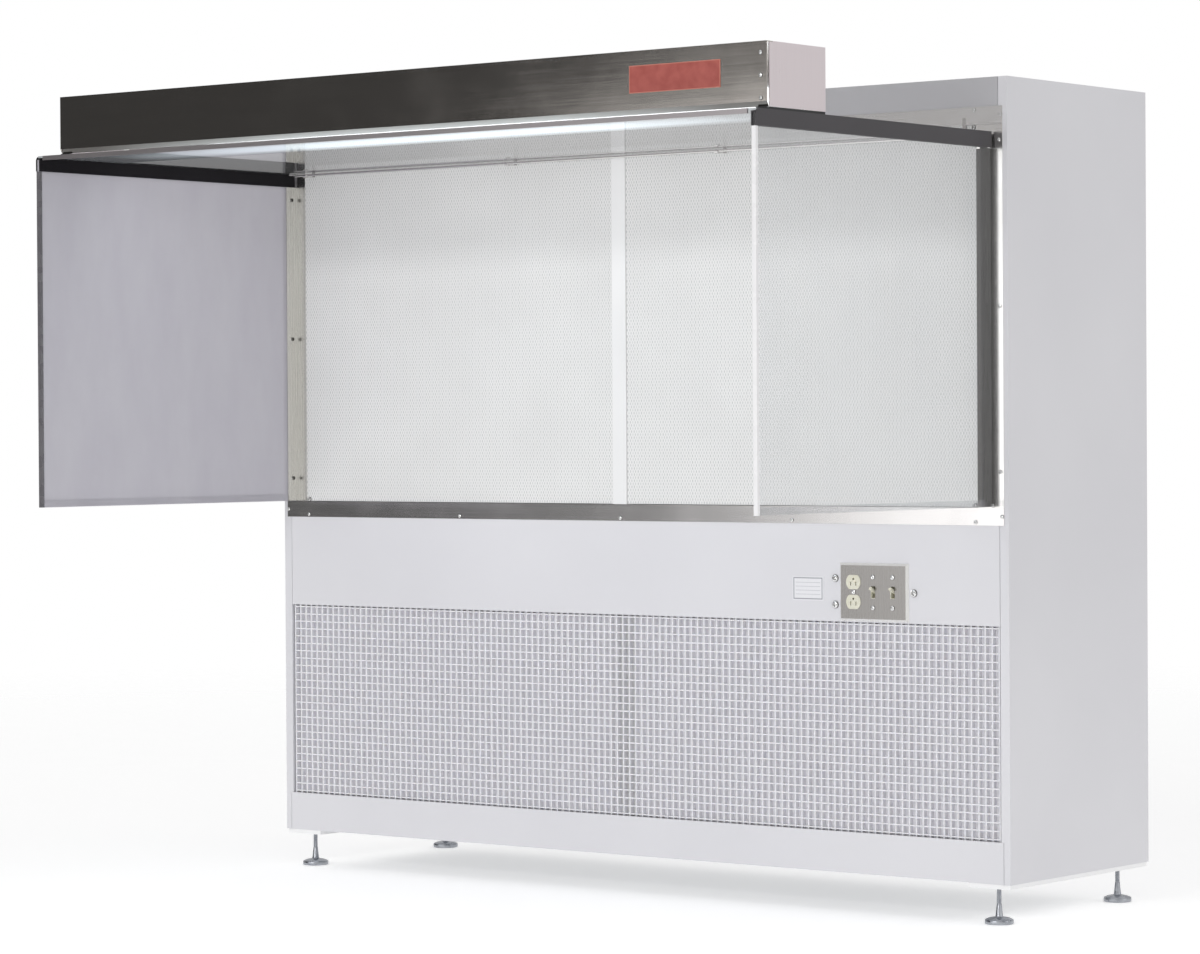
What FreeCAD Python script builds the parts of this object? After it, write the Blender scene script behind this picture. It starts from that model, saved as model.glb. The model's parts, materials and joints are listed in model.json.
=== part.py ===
"""Horizontal laminar-flow clean hood: a filter cabinet on levelling feet, two clear side shields
and a lit canopy, as a parametric FreeCAD document.

+X is to the right of a person facing the hood, +Y points to the back and +Z up. The origin is on
the floor, under the middle of the whole hood. Inside this file, y is measured back from the
cabinet's front face and z up from the bottom of the cabinet body, and block() and round_bar()
move both to the origin.
"""

import FreeCAD, Part
import os
import re

import Sketcher

Vector = FreeCAD.Vector

# Driving dimensions in millimetres.
DIMENSIONS = {
    # cabinet
    "body_width": 1880, "body_depth": 516, "body_height": 1546, "foot_height": 80,
    "panel_sheet": 2, "trim_sheet": 1.5, "gap": 0.3, "seam": 1, "flange": 20, "flange_return": 18,
    "base_rail_top": 81, "base_rail_inset": 15, "apron_bottom": 495, "apron_top": 705,
    "apron_return": 38, "ledge_bottom": 688, "ledge_top": 722, "strip_inset": 10, "ledge_leg": 30,
    "header_bottom": 1456, "fascia_bottom": 1490, "fascia_return": 12, "rear_flange": 34,
    "back_recess": 26, "gland_hole": 7, "pan_lip": 24, "jamb_inner": 872,
    # skids and levelling feet
    "skid_width": 94, "skid_height": 9, "skid_inset": 3, "foot_inset": 50, "foot_setback": 38,
    "stud_radius": 4.7, "thread_radius": 4.78, "stud_top": 30, "neck_radius": 7, "neck_height": 26,
    "pad_radius": 28, "pad_rim": 6, "pad_height": 13, "pan_hole_radius": 8,
    # intake grille and prefilters
    "grille_half": 916, "grille_bottom": 68, "grille_top": 508, "grille_front": 4,
    "grille_depth": 12.7, "lattice_pitch": 32.2, "blade": 1.4, "track_front": 2.3,
    "track_depth": 46, "track_lip": 12, "post_half": 27, "post_front": 17.2, "prefilter_front": 19.5,
    # filters and screens
    "filter_width": 914, "filter_height": 762, "filter_depth": 146, "filter_front": 3,
    "filter_bottom": 723, "filter_wall": 19, "media_inset": 40, "media_depth": 34, "screen_front": 0.4,
    "screen_sheet": 1.2, "screen_half": 899, "divider_half": 17.5, "divider_proud": 3,
    # plenum shelf and blowers
    "shelf_bottom": 698, "shelf_front": 46, "blower_x": 470, "blower_y": 262, "blower_z": 360,
    "scroll_radius": 188, "scroll_half": 150, "inlet_radius": 108, "wheel_radius": 140,
    "wheel_half": 132, "wheel_offset": 26, "wheel_ring": 4, "blade_depth": 24, "wheel_disc": 3,
    "hub_radius": 20, "hub_half": 30, "shaft_radius": 8, "shaft_clearance": 0.06,
    "motor_radius": 75, "motor_length": 140, "motor_gap": 14, "shaft_seat": 40, "pedestal_half": 45,
    "pedestal_sheet": 3,
    # side shields, rails and trims
    "shield_reach": 770, "shield_plane": 904, "shield_sheet": 6, "shield_bottom": 724.3, "shield_rear": 7,
    "rail_bottom": 1410, "rail_top": 1441, "rail_wall": 2.5, "rail_web": 1434, "rail_corner": 10,
    "trim_wall": 1, "trim_bottom": 723, "front_trim_depth": 7, "channel_height": 14,
    "bracket_leg": 32,
    # canopy
    "roof_bottom": 1437.2, "roof_sheet": 4, "roof_rear": 12, "canopy_reach": 716,
    "canopy_half": 894, "canopy_depth": 181, "canopy_bottom": 1448, "canopy_top": 1564,
    "lip_height": 9, "lip_slope": 5, "fascia_top_return": 18, "bar_height": 9, "bar_depth": 3.4,
    "bar_half": 890, "spacer_inner": 870, "spacer_outer": 893, "tube_radius": 12.7,
    "tube_half": 750, "tube_z": 1492, "tube_spread": 38, "holder_width": 20, "holder_depth": 34,
    "holder_bottom": 1474, "ballast_half": 150, "ballast_depth": 56, "ballast_height": 38,
    # hanger rod
    "rod_radius": 3, "rod_half": 892, "rod_reach": 28, "rod_z": 1433.6, "clip_half": 4,
    "clip_radius": 6, "clip_inner": 273, "clip_outer": 845, "clip_top": 1470,
    # outlet and switch plate
    "plate_x": 629.5, "plate_z": 554.3, "plate_width": 161.9, "plate_height": 114.3,
    "plate_proud": 5.5, "plate_bevel": 5.5, "plate_sheet": 2, "gang": 46.04, "box_half_width": 72,
    "box_half_height": 37, "box_depth": 60, "box_wall": 1.6, "socket_radius": 17, "socket_flat": 14,
    "socket_spread": 19.5, "socket_proud": 1.2, "device_half_width": 16, "device_half_height": 34,
    "device_depth": 28, "slot_half": 5.2, "slot_height": 24.2, "slot_width": 2.2, "slot_length": 8,
    "slot_depth": 12, "slot_spread": 6.3, "slot_fall": 3, "ground_radius": 2.4, "ground_rise": 6.2,
    "plate_screw_radius": 4.8, "toggle_screw_spread": 30.15, "collar_wall": 1,
    "lever_half": 3.4, "lever_root": 5, "lever_tip": 3.6, "lever_length": 20, "lever_pivot": 3.5,
    "lever_boss": 5, "lever_tilt": 24,
    # labels, gland and fasteners
    "sign_left": 586, "sign_width": 206, "sign_bottom": 1487, "sign_height": 50, "sign_sheet": 0.8,
    "label_left": 433, "label_width": 75, "label_bottom": 535, "label_height": 48,
    "gland_x": -700, "gland_z": 120, "gland_radius": 15, "gland_length": 20, "gland_bore": 5.5,
    "head_radius": 4, "head_height": 2.2, "large_head_radius": 4.4, "large_head_height": 4,
    "large_head_x": 865, "shield_head_x": 905.8, "large_head_offset": 4.8,
    "strip_screw_pitch": 433, "strip_screw_rise": 6, "strip_end_screw": 926,
    "round_head_radius": 7.5, "round_head_height": 4.8,
}

FACE = "((shield_reach - body_depth) / 2)"
HALF = "body_width / 2"
PANEL_INNER = "body_width / 2 - panel_sheet"
BETWEEN_FLANGES = "body_width / 2 - flange - seam"
BACK = "body_depth - back_recess"

doc = FreeCAD.newDocument("CleanHood")
sheet = doc.addObject("Spreadsheet::Sheet", "Dims")
nodes = {}


def fill_sheet():
    """Write each driving dimension to the sheet, with its alias beside it."""
    for row, (alias, value) in enumerate(DIMENSIONS.items(), start=1):
        sheet.set(f"A{row}", alias)
        sheet.set(f"B{row}", str(value))
        sheet.setAlias(f"B{row}", alias)
    doc.recompute()


def formula(text):
    """Turn the dimension names in a text into references to the sheet."""
    return re.sub(r"[a-z_]+", lambda word: "Dims." + word.group(), str(text))


def size(text):
    """The value of a formula, for shapes that are built without an expression."""
    names = {alias: sheet.get(alias) for alias in DIMENSIONS}
    value = FreeCAD.Units.Quantity(re.sub(r"[a-z_]+", lambda w: f"({float(names[w.group()])})", text))
    return value.Value


def bind(target, sizes):
    """Bind properties of an object to formulas."""
    for name, text in sizes.items():
        target.setExpression(name, formula(text))


def put(target, x, y, z):
    """Bind an object's place, with y from the cabinet's face and z from the body's bottom."""
    bind(target, {
        "Placement.Base.x": x,
        "Placement.Base.y": f"{FACE} + ({y})",
        "Placement.Base.z": f"foot_height + ({z})",
    })


def block(name, x, y, z):
    """A box between two x, two y and two z places."""
    box = doc.addObject("Part::Box", name)
    for side, (start, end) in (("Length", x), ("Width", y), ("Height", z)):
        bind(box, {side: f"({end}) - ({start})"})
    put(box, x[0], y[0], z[0])
    return box


def round_bar(name, along, radius, length, start):
    """A cylinder that runs along +X, +Y or +Z from its start."""
    bar = doc.addObject("Part::Cylinder", name)
    turns = {
        "x": FreeCAD.Rotation(Vector(0, 1, 0), 90),
        "y": FreeCAD.Rotation(Vector(1, 0, 0), -90),
        "z": FreeCAD.Rotation(),
    }
    bar.Placement = FreeCAD.Placement(Vector(), turns[along])
    bind(bar, {"Radius": radius, "Height": length})
    put(bar, *start)
    return bar


def fuse(name, pieces):
    """Several touching solids as one."""
    joined = doc.addObject("Part::MultiFuse", name)
    joined.Shapes = pieces
    joined.Refine = True
    return joined


def cut(name, base, tools):
    """A solid with others taken out of it."""
    result = doc.addObject("Part::Cut", name)
    result.Base = base
    result.Tool = tools[0] if len(tools) == 1 else fuse(name + "_cutter", tools)
    result.Refine = True
    return result


def several(name, pieces):
    """Separate solids kept in one node."""
    group = doc.addObject("Part::Compound", name)
    group.Links = pieces
    return group


def node(label, shape_object):
    """Register an object as a sub-part that gets its own file."""
    shape_object.Label = label
    nodes[label] = shape_object
    return shape_object


def feature(label, shape):
    """A sub-part whose shape is built directly, and already stands in the hood's frame."""
    piece = doc.addObject("Part::Feature", label + "_shape")
    piece.Shape = shape
    piece.Placement = FreeCAD.Placement()
    return node(label, piece)


def side_span(side, near, far):
    """An x span on the right for side 1, and its mirror image on the left for side -1."""
    if side > 0:
        return (near, far)
    return (f"-({far})", f"-({near})")


def both(half):
    """An x span centred on the hood."""
    return (f"-({half})", half)


def origin_plane(body, role):
    """One of a body's own origin planes."""
    return next(item for item in body.Origin.OriginFeatures if item.Role == role)


def new_sketch(body, name, role):
    """A sketch on one of its body's origin planes."""
    sketch = body.newObject("Sketcher::SketchObject", name)
    sketch.AttachmentSupport = [(origin_plane(body, role), "")]
    sketch.MapMode = "FlatFace"
    return sketch


def outline(sketch, points):
    """A closed outline of straight edges, with each corner bound to two formulas."""
    corners = [Vector(size(across), size(up), 0) for across, up in points]
    first = sketch.GeometryCount
    for index, corner in enumerate(corners):
        following = corners[(index + 1) % len(corners)]
        sketch.addGeometry(Part.LineSegment(corner, following), False)
    for index in range(len(corners)):
        line = first + index
        next_line = first + (index + 1) % len(corners)
        sketch.addConstraint(Sketcher.Constraint("Coincident", line, 2, next_line, 1))
        for kind, text, value in (
            ("DistanceX", points[index][0], corners[index].x),
            ("DistanceY", points[index][1], corners[index].y),
        ):
            if abs(value) < 1e-9:
                axis = -2 if kind == "DistanceX" else -1
                sketch.addConstraint(Sketcher.Constraint("PointOnObject", line, 1, axis))
                continue
            number = sketch.addConstraint(Sketcher.Constraint(kind, -1, 1, line, 1, value))
            sketch.setExpression(f"Constraints[{number}]", formula(text))


def pad(body, sketch, length, both_ways=False):
    """A sketch padded to a length."""
    solid = body.newObject("PartDesign::Pad", sketch.Name + "_pad")
    solid.Profile = sketch
    if both_ways:
        solid.Midplane = True
    bind(solid, {"Length": length})
    sketch.Visibility = False
    return solid


# ---------------------------------------------------------------- cabinet sheet metal


def side_panel(side, label):
    """A folded side: the sheet, flanges round all four edges, and a return behind the front one."""
    far = PANEL_INNER
    near = f"{HALF} - flange"
    flange_x = side_span(side, near, far)
    pieces = [
        block(label + "_sheet", side_span(side, far, HALF), ("0", "body_depth"), ("0", "body_height")),
        block(label + "_front", flange_x, ("0", "panel_sheet"), ("base_rail_top", "body_height")),
        block(
            label + "_toe", side_span(side, f"{HALF} - base_rail_inset + seam", far),
            ("0", "panel_sheet"), ("0", "base_rail_top"),
        ),
        block(
            label + "_return", side_span(side, near, near + " + panel_sheet"),
            ("panel_sheet", "flange_return"), ("base_rail_top", "body_height"),
        ),
        block(
            label + "_rear", flange_x, ("body_depth - panel_sheet", "body_depth"), ("0", "body_height"),
        ),
        block(
            label + "_top", flange_x, ("panel_sheet", "body_depth - panel_sheet"),
            ("body_height - panel_sheet", "body_height"),
        ),
        block(
            label + "_bottom", flange_x, ("flange + gap", "body_depth - panel_sheet"),
            ("0", "panel_sheet"),
        ),
    ]
    node(label, fuse(label + "_fold", pieces))


def top_cover():
    """The top sheet, turned down at the front into the fascia and at the back into a flange."""
    width = both(BETWEEN_FLANGES)
    under = "body_height - panel_sheet"
    node("top_cover", fuse("top_cover_fold", [
        block("top_sheet", width, ("0", "body_depth"), (under, "body_height")),
        block("top_fascia", width, ("0", "panel_sheet"), ("fascia_bottom", under)),
        block(
            "top_fascia_return", width, ("panel_sheet", "fascia_return"),
            ("fascia_bottom", "fascia_bottom + panel_sheet"),
        ),
        block(
            "top_rear_flange", width, ("body_depth - panel_sheet", "body_depth"),
            (f"{under} - rear_flange", under),
        ),
    ]))


def back_panel():
    """The back, set in from the side panels' rear flanges, with a hole for the cord gland."""
    sheet_block = block(
        "back_sheet", both(f"{PANEL_INNER} - gap"), (f"{BACK} - panel_sheet", BACK),
        ("panel_sheet + gap", "body_height - panel_sheet - gap"),
    )
    hole = round_bar(
        "back_gland_hole", "y", "gland_hole", "3 * panel_sheet",
        ("gland_x", f"{BACK} - 2 * panel_sheet", "gland_z"),
    )
    node("back_panel", cut("back_panel_cut", sheet_block, [hole]))


def bottom_pan():
    """The floor of the cabinet, turned up at the back, with holes over the four studs."""
    rear = f"{BACK} - panel_sheet - gap"
    floor = block("pan_floor", both(BETWEEN_FLANGES), ("flange + gap", rear), ("0", "panel_sheet"))
    lip = block(
        "pan_lip", both(BETWEEN_FLANGES), (f"{rear} - panel_sheet", rear), ("panel_sheet", "pan_lip"),
    )
    holes = [
        round_bar(f"pan_hole_{name}", "z", "pan_hole_radius", "3 * panel_sheet", (x, y, "-panel_sheet"))
        for name, x, y in foot_places()
    ]
    node("bottom_pan", cut("bottom_pan_cut", fuse("pan_fold", [floor, lip]), holes))


def base_rail():
    """The rail under the intake, turned in along its bottom edge."""
    width = both(f"{HALF} - base_rail_inset")
    node("base_rail", fuse("base_rail_fold", [
        block("base_rail_face", width, ("0", "panel_sheet"), ("0", "base_rail_top")),
        block("base_rail_foot", both(BETWEEN_FLANGES), ("panel_sheet", "flange"), ("0", "panel_sheet")),
    ]))


def front_apron():
    """The panel between intake and filters, with its top turned in and a hole for the switch box."""
    width = both(BETWEEN_FLANGES)
    face = block("apron_face", width, ("0", "panel_sheet"), ("apron_bottom", "apron_top"))
    shelf = block(
        "apron_shelf", width, ("panel_sheet", "apron_return"),
        ("apron_top - panel_sheet", "apron_top"),
    )
    hole = block(
        "apron_hole",
        ("plate_x - box_half_width - gap", "plate_x + box_half_width + gap"),
        ("-panel_sheet", "2 * panel_sheet"),
        ("plate_z - box_half_height - gap", "plate_z + box_half_height + gap"),
    )
    node("front_apron", cut("front_apron_cut", fuse("apron_fold", [face, shelf]), [hole]))


def ledge_strip():
    """A stainless angle along the foot of the filters, lapping both side flanges."""
    node("ledge_strip", fuse("ledge_fold", [
        block(
            "ledge_face", both(f"{HALF} - strip_inset"), ("-trim_sheet", "0"),
            ("ledge_bottom", "ledge_top"),
        ),
        block(
            "ledge_leg", both(BETWEEN_FLANGES), ("0", "ledge_leg"),
            ("ledge_top - trim_sheet", "ledge_top"),
        ),
    ]))


def header_strip():
    """A stainless strip across the head of the filters, under the fascia."""
    node("header_strip", block(
        "header_face", both(f"{HALF} - strip_inset"), ("-trim_sheet", "0"),
        ("header_bottom", "fascia_bottom"),
    ))


def jamb_strips():
    """Stainless strips up both ends of the filter opening."""
    node("jamb_strips", several("jambs", [
        block(
            f"jamb_{name}", side_span(side, "jamb_inner", f"{HALF} - strip_inset"),
            ("-trim_sheet", "0"), ("ledge_top + gap", "header_bottom - gap"),
        )
        for side, name in ((-1, "left"), (1, "right"))
    ]))


# ---------------------------------------------------------------- skids and feet


def foot_places():
    """The name, x and y of each levelling foot."""
    return [
        (f"{row}_{name}", f"{sign}({HALF} - foot_inset)", y)
        for row, y in (("front", "foot_setback"), ("rear", "body_depth - foot_setback"))
        for name, sign in (("left", "-"), ("right", ""))
    ]


def skids():
    """A steel bar under each side, drilled and tapped for two studs."""
    bars = []
    for side, name, sign in ((-1, "left", "-"), (1, "right", "")):
        bar = block(
            f"skid_{name}_bar",
            side_span(side, f"{HALF} - skid_inset - skid_width", f"{HALF} - skid_inset"),
            ("skid_inset", "body_depth - skid_inset"), ("-skid_height", "0"),
        )
        holes = [
            round_bar(
                f"skid_{name}_hole_{row}", "z", "thread_radius", "3 * skid_height",
                (f"{sign}({HALF} - foot_inset)", y, "-2 * skid_height"),
            )
            for row, y in (("front", "foot_setback"), ("rear", "body_depth - foot_setback"))
        ]
        bars.append(cut(f"skid_{name}", bar, holes))
    node("skids", several("skid_pair", bars))


def levelling_foot(name, x, y):
    """A stud with a waisted neck on a round pad, turned as one piece."""
    label = "foot_" + name
    body = doc.addObject("PartDesign::Body", label + "_body")
    profile = new_sketch(body, label + "_profile", "XZ_Plane")
    stud_end = "foot_height + stud_top"
    outline(profile, [
        ("0", "0"),
        ("pad_radius", "0"),
        ("pad_radius", "pad_rim"),
        ("neck_radius + 2 * pad_rim", "pad_height"),
        ("neck_radius", "pad_height"),
        ("stud_radius", "pad_height + neck_height"),
        ("stud_radius", stud_end),
        ("0", stud_end),
    ])
    turned = body.newObject("PartDesign::Revolution", label + "_turned")
    turned.Profile = profile
    turned.ReferenceAxis = (profile, ["V_Axis"])
    turned.Angle = 360
    put(body, x, y, "-foot_height")
    node(label, body)


# ---------------------------------------------------------------- intake


def eggcrate_grille():
    """The intake grille: a lattice of thin upright and level blades."""
    half = size("grille_half")
    bottom, top = size("foot_height + grille_bottom"), size("foot_height + grille_top")
    front = size(f"{FACE} + grille_front")
    pitch, blade, depth = size("lattice_pitch"), size("blade"), size("grille_depth")
    columns = int(2 * half // pitch)
    rows = int((top - bottom) // pitch)
    side_margin = half - columns * pitch / 2
    foot_margin = (top - bottom - rows * pitch) / 2
    holes = []
    for column in range(columns):
        for row in range(rows):
            left = -half + side_margin + column * pitch + blade / 2
            low = bottom + foot_margin + row * pitch + blade / 2
            holes.append(cell_wire(left, low, pitch - blade, front))
    face = Part.Face([rim_wire(-half, half, bottom, top, front)] + holes)
    feature("eggcrate_grille", face.extrude(Vector(0, depth, 0)))


def rim_wire(left, right, low, high, y):
    """A rectangle in an upright plane."""
    corners = [Vector(left, y, low), Vector(right, y, low), Vector(right, y, high), Vector(left, y, high)]
    return Part.makePolygon(corners + corners[:1])


def cell_wire(left, low, side, y):
    """One square cell of the grille, wound the other way round from the rim."""
    corners = [
        Vector(left, y, low), Vector(left, y, low + side),
        Vector(left + side, y, low + side), Vector(left + side, y, low),
    ]
    return Part.makePolygon(corners + corners[:1])


def grille_tracks():
    """Channels above and below that hold the grille and prefilters, and the post at the middle."""
    pieces = []
    width = both("grille_half + gap")
    rear = ("track_depth - panel_sheet", "track_depth")
    rib = ("grille_front + grille_depth + gap", "post_front + panel_sheet - trim_sheet")
    for name, seat, away, lip_in in (
        ("bottom", "grille_bottom - gap", "grille_bottom - gap - panel_sheet", "grille_bottom + track_lip"),
        ("top", "grille_top + gap", "grille_top + gap + panel_sheet", "grille_top - track_lip"),
    ):
        web = (away, seat) if name == "bottom" else (seat, away)
        lip = (seat, lip_in) if name == "bottom" else (lip_in, seat)
        pieces.append(fuse(f"track_{name}", [
            block(f"track_{name}_web", width, ("track_front", "track_depth"), web),
            block(f"track_{name}_wall", width, rear, lip),
            block(f"track_{name}_rib", width, rib, lip),
        ]))
    pieces.append(block(
        "grille_post", both("post_half"), ("post_front + gap + 0.5 * trim_sheet", "prefilter_front - gap"),
        ("grille_bottom + track_lip + gap", "grille_top - track_lip - gap"),
    ))
    node("grille_tracks", several("tracks", pieces))


def prefilters():
    """Two washable intake filters, side by side behind the grille."""
    node("prefilters", several("prefilter_pair", [
        block(
            f"prefilter_{name}", side_span(side, "gap", "grille_half"),
            ("prefilter_front", "track_depth - panel_sheet - gap"),
            ("grille_bottom", "grille_top"),
        )
        for side, name in ((-1, "left"), (1, "right"))
    ]))


# ---------------------------------------------------------------- main filters


def filter_frame(side, label):
    """The square-section frame round one main filter."""
    x = side_span(side, "gap", "gap + filter_width")
    inner_x = side_span(side, "gap + filter_wall", "gap + filter_width - filter_wall")
    outer = block(
        label + "_outer", x, ("filter_front", "filter_front + filter_depth"),
        ("filter_bottom", "filter_bottom + filter_height"),
    )
    inner = block(
        label + "_inner", inner_x, ("0", "filter_front + filter_depth + filter_wall"),
        ("filter_bottom + filter_wall", "filter_bottom + filter_height - filter_wall"),
    )
    node(label, cut(label + "_frame", outer, [inner]))


def filter_media():
    """The pleated packs inside both filter frames."""
    node("filter_media", several("media_pair", [
        block(
            f"media_{name}",
            side_span(side, "gap + filter_wall", "gap + filter_width - filter_wall"),
            ("filter_front + media_inset", "filter_front + media_inset + media_depth"),
            ("filter_bottom + filter_wall", "filter_bottom + filter_height - filter_wall"),
        )
        for side, name in ((-1, "left"), (1, "right"))
    ]))


def screen(side, label):
    """The protective sheet over one filter's face."""
    node(label, block(
        label + "_sheet", side_span(side, "divider_half + gap", "screen_half"),
        ("screen_front", "screen_front + screen_sheet"),
        ("filter_bottom", "fascia_bottom - gap"),
    ))


def filter_divider():
    """The white strip over the joint between the filters."""
    node("filter_divider", block(
        "divider_strip", both("divider_half"), ("-divider_proud", "screen_front + screen_sheet"),
        ("ledge_top + gap", "header_bottom - gap"),
    ))


# ---------------------------------------------------------------- air system


def plenum_shelf():
    """The shelf between blower space and filter plenum, open above each blower."""
    width = both(f"{PANEL_INNER} - gap")
    z = ("shelf_bottom", "shelf_bottom + panel_sheet")
    rear = f"{BACK} - panel_sheet - gap"
    shelf = block("shelf_sheet", width, ("shelf_front", rear), z)
    holes = [
        block(
            f"shelf_hole_{name}", side_span(side, "blower_x - scroll_half", "blower_x + scroll_half"),
            ("blower_y - scroll_radius", "blower_y + scroll_radius"),
            ("shelf_bottom - panel_sheet", "shelf_bottom + 2 * panel_sheet"),
        )
        for side, name in ((-1, "left"), (1, "right"))
    ]
    node("plenum_shelf", cut("plenum_shelf_cut", shelf, holes))


def blower_housing(side, label):
    """A blower case: round below, straight-sided up to the shelf, open on top and at both inlets."""
    x_in = side_span(side, "blower_x - scroll_half + panel_sheet", "blower_x + scroll_half - panel_sheet")
    x_out = side_span(side, "blower_x - scroll_half", "blower_x + scroll_half")
    top = "shelf_bottom - gap"

    def tub(name, radius, span, high):
        drum = round_bar(
            f"{label}_{name}_drum", "x", radius, f"({span[1]}) - ({span[0]})",
            (span[0], "blower_y", "blower_z"),
        )
        neck = block(
            f"{label}_{name}_neck", span, (f"blower_y - ({radius})", f"blower_y + ({radius})"),
            ("blower_z", high),
        )
        return fuse(f"{label}_{name}", [drum, neck])

    inlet = round_bar(
        f"{label}_inlet", "x", "inlet_radius", "4 * scroll_half",
        (f"{side_span(side, 'blower_x', 'blower_x')[0]} - 2 * scroll_half", "blower_y - wheel_offset",
         "blower_z"),
    )
    case = cut(label + "_case", tub("outer", "scroll_radius", x_out, top), [
        tub("inner", "scroll_radius - panel_sheet", x_in, "shelf_bottom + scroll_half"),
        inlet,
    ])
    node(label, case)


def blower_wheel(side, label):
    """A two-sided wheel: a middle disc, a hub on a long shaft, and blades between two rings."""
    centre = Vector(
        side * size("blower_x"), size(f"{FACE} + blower_y - wheel_offset"),
        size("foot_height + blower_z"),
    )
    half, radius = size("wheel_half"), size("wheel_radius")
    ring, depth = size("wheel_ring"), size("blade_depth")
    along = Vector(1, 0, 0)
    inward = Vector(-side, 0, 0)

    def drum(drum_radius, length, start_x):
        return Part.makeCylinder(drum_radius, length, centre + Vector(start_x, 0, 0), along)

    rings = [
        drum(radius, ring, start).cut(drum(radius - depth, ring, start))
        for start in (-half, half - ring)
    ]
    disc = drum(radius, size("wheel_disc"), -size("wheel_disc") / 2)
    hub = drum(size("hub_radius"), 2 * size("hub_half"), -size("hub_half"))
    reach = size("scroll_half + motor_gap + shaft_seat")
    shaft = Part.makeCylinder(size("shaft_radius"), reach, centre, inward)
    blade_count = 32
    blade = Part.makeBox(
        2 * half, size("wheel_disc"), depth - ring / 2,
        centre + Vector(-half, 0, radius - depth + ring / 4),
    )
    blade.rotate(centre + Vector(0, 0, radius - depth / 2), along, 28)
    blades = []
    for number in range(blade_count):
        copy = blade.copy()
        copy.rotate(centre, along, number * 360 / blade_count)
        blades.append(copy)
    wheel = disc.fuse(rings + [hub, shaft] + blades).removeSplitter()
    feature(label, wheel)


def blower_motor(side, label):
    """A round motor beside the blower, on a pedestal that stands on the cabinet floor."""
    near = "blower_x - scroll_half - motor_gap"
    far = f"{near} - motor_length"
    y = "blower_y - wheel_offset"
    case_x = side_span(side, far, near)
    case = round_bar(f"{label}_case", "x", "motor_radius", "motor_length", (case_x[0], y, "blower_z"))
    pedestal = block(
        f"{label}_pedestal",
        side_span(side, f"{far} + pedestal_half - motor_gap", f"{near} - pedestal_half + motor_gap"),
        (f"{y} - pedestal_half", f"{y} + pedestal_half"), ("panel_sheet + gap", "blower_z"),
    )
    seat_x = side_span(side, f"{near} - shaft_seat - motor_gap", f"{near} + motor_gap")
    bore = round_bar(
        f"{label}_bore", "x", "shaft_radius + shaft_clearance", "shaft_seat + 2 * motor_gap",
        (seat_x[0], y, "blower_z"),
    )
    hollow = block(
        f"{label}_hollow", side_span(side, far, near),
        (f"{y} - pedestal_half + pedestal_sheet", f"{y} + pedestal_half - pedestal_sheet"),
        ("0", "blower_z - motor_radius - pedestal_sheet"),
    )
    solid = fuse(label + "_solid", [case, cut(f"{label}_stand", pedestal, [hollow])])
    node(label, cut(label + "_bored", solid, [bore]))


# ---------------------------------------------------------------- side shields

SHIELD_IN = "shield_plane - shield_sheet / 2"
SHIELD_OUT = "shield_plane + shield_sheet / 2"


def shield(side, label):
    """One clear side sheet, with a clear channel over its bottom edge."""
    sheet_block = block(
        label + "_sheet", side_span(side, SHIELD_IN, SHIELD_OUT),
        ("-shield_reach + trim_wall + gap", "-shield_rear"), ("shield_bottom", "rail_web - gap"),
    )
    along = ("-shield_reach + front_trim_depth + gap", "-bracket_leg - trim_sheet")
    walls = ("trim_bottom", "trim_bottom + channel_height")
    channel = fuse(label + "_channel", [
        block(
            label + "_channel_outer",
            side_span(side, f"{SHIELD_OUT} + gap", f"{SHIELD_OUT} + gap + trim_wall"), along, walls,
        ),
        block(
            label + "_channel_inner",
            side_span(side, f"{SHIELD_IN} - gap - trim_wall", f"{SHIELD_IN} - gap"), along, walls,
        ),
        block(
            label + "_channel_floor", side_span(side, f"{SHIELD_IN} - gap", f"{SHIELD_OUT} + gap"),
            along, ("trim_bottom", "trim_bottom + trim_wall"),
        ),
    ])
    node(label, several(label + "_pair", [sheet_block, channel]))


def rail(side, label):
    """The dark rail on a shield: two walls over the sheet's edge, and a web that carries the roof."""
    y = ("-shield_reach", "-shield_rear")
    outer = side_span(side, f"{SHIELD_OUT} + gap", f"{SHIELD_OUT} + gap + rail_wall")
    inner = side_span(side, f"{SHIELD_IN} - gap - rail_wall", f"{SHIELD_IN} - gap")
    web = side_span(side, f"{SHIELD_IN} - gap", f"{SHIELD_OUT} + gap")
    section = fuse(label + "_section", [
        block(label + "_outer", outer, y, ("rail_bottom", "rail_top")),
        block(label + "_inner", inner, y, ("rail_bottom", "rail_web + rail_wall")),
        block(label + "_web", web, y, ("rail_web", "rail_web + rail_wall")),
    ])
    corner = block(
        label + "_corner", outer, ("-shield_reach", "-shield_reach + rail_corner"),
        ("rail_top - rail_corner", "rail_top"),
    )
    rounding = round_bar(
        label + "_rounding", "x", "rail_corner", "rail_wall",
        (outer[0], "-shield_reach + rail_corner", "rail_top - rail_corner"),
    )
    node(label, cut(label + "_rounded", section, [cut(label + "_corner_waste", corner, [rounding])]))


def shield_trims():
    """White channels over the front edges of both shields."""
    pieces = []
    for side, name in ((-1, "left"), (1, "right")):
        outer = side_span(side, f"{SHIELD_OUT} + gap", f"{SHIELD_OUT} + gap + trim_wall")
        inner = side_span(side, f"{SHIELD_IN} - gap - trim_wall", f"{SHIELD_IN} - gap")
        middle = side_span(side, f"{SHIELD_IN} - gap", f"{SHIELD_OUT} + gap")
        upright = ("trim_bottom", "rail_bottom - gap")
        front_y = ("-shield_reach", "-shield_reach + front_trim_depth")
        pieces.append(fuse(f"front_trim_{name}", [
            block(f"front_trim_{name}_outer", outer, front_y, upright),
            block(f"front_trim_{name}_inner", inner, front_y, upright),
            block(
                f"front_trim_{name}_nose", middle, ("-shield_reach", "-shield_reach + trim_wall"),
                upright,
            ),
        ]))
    node("shield_trims", several("trims", pieces))


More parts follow.
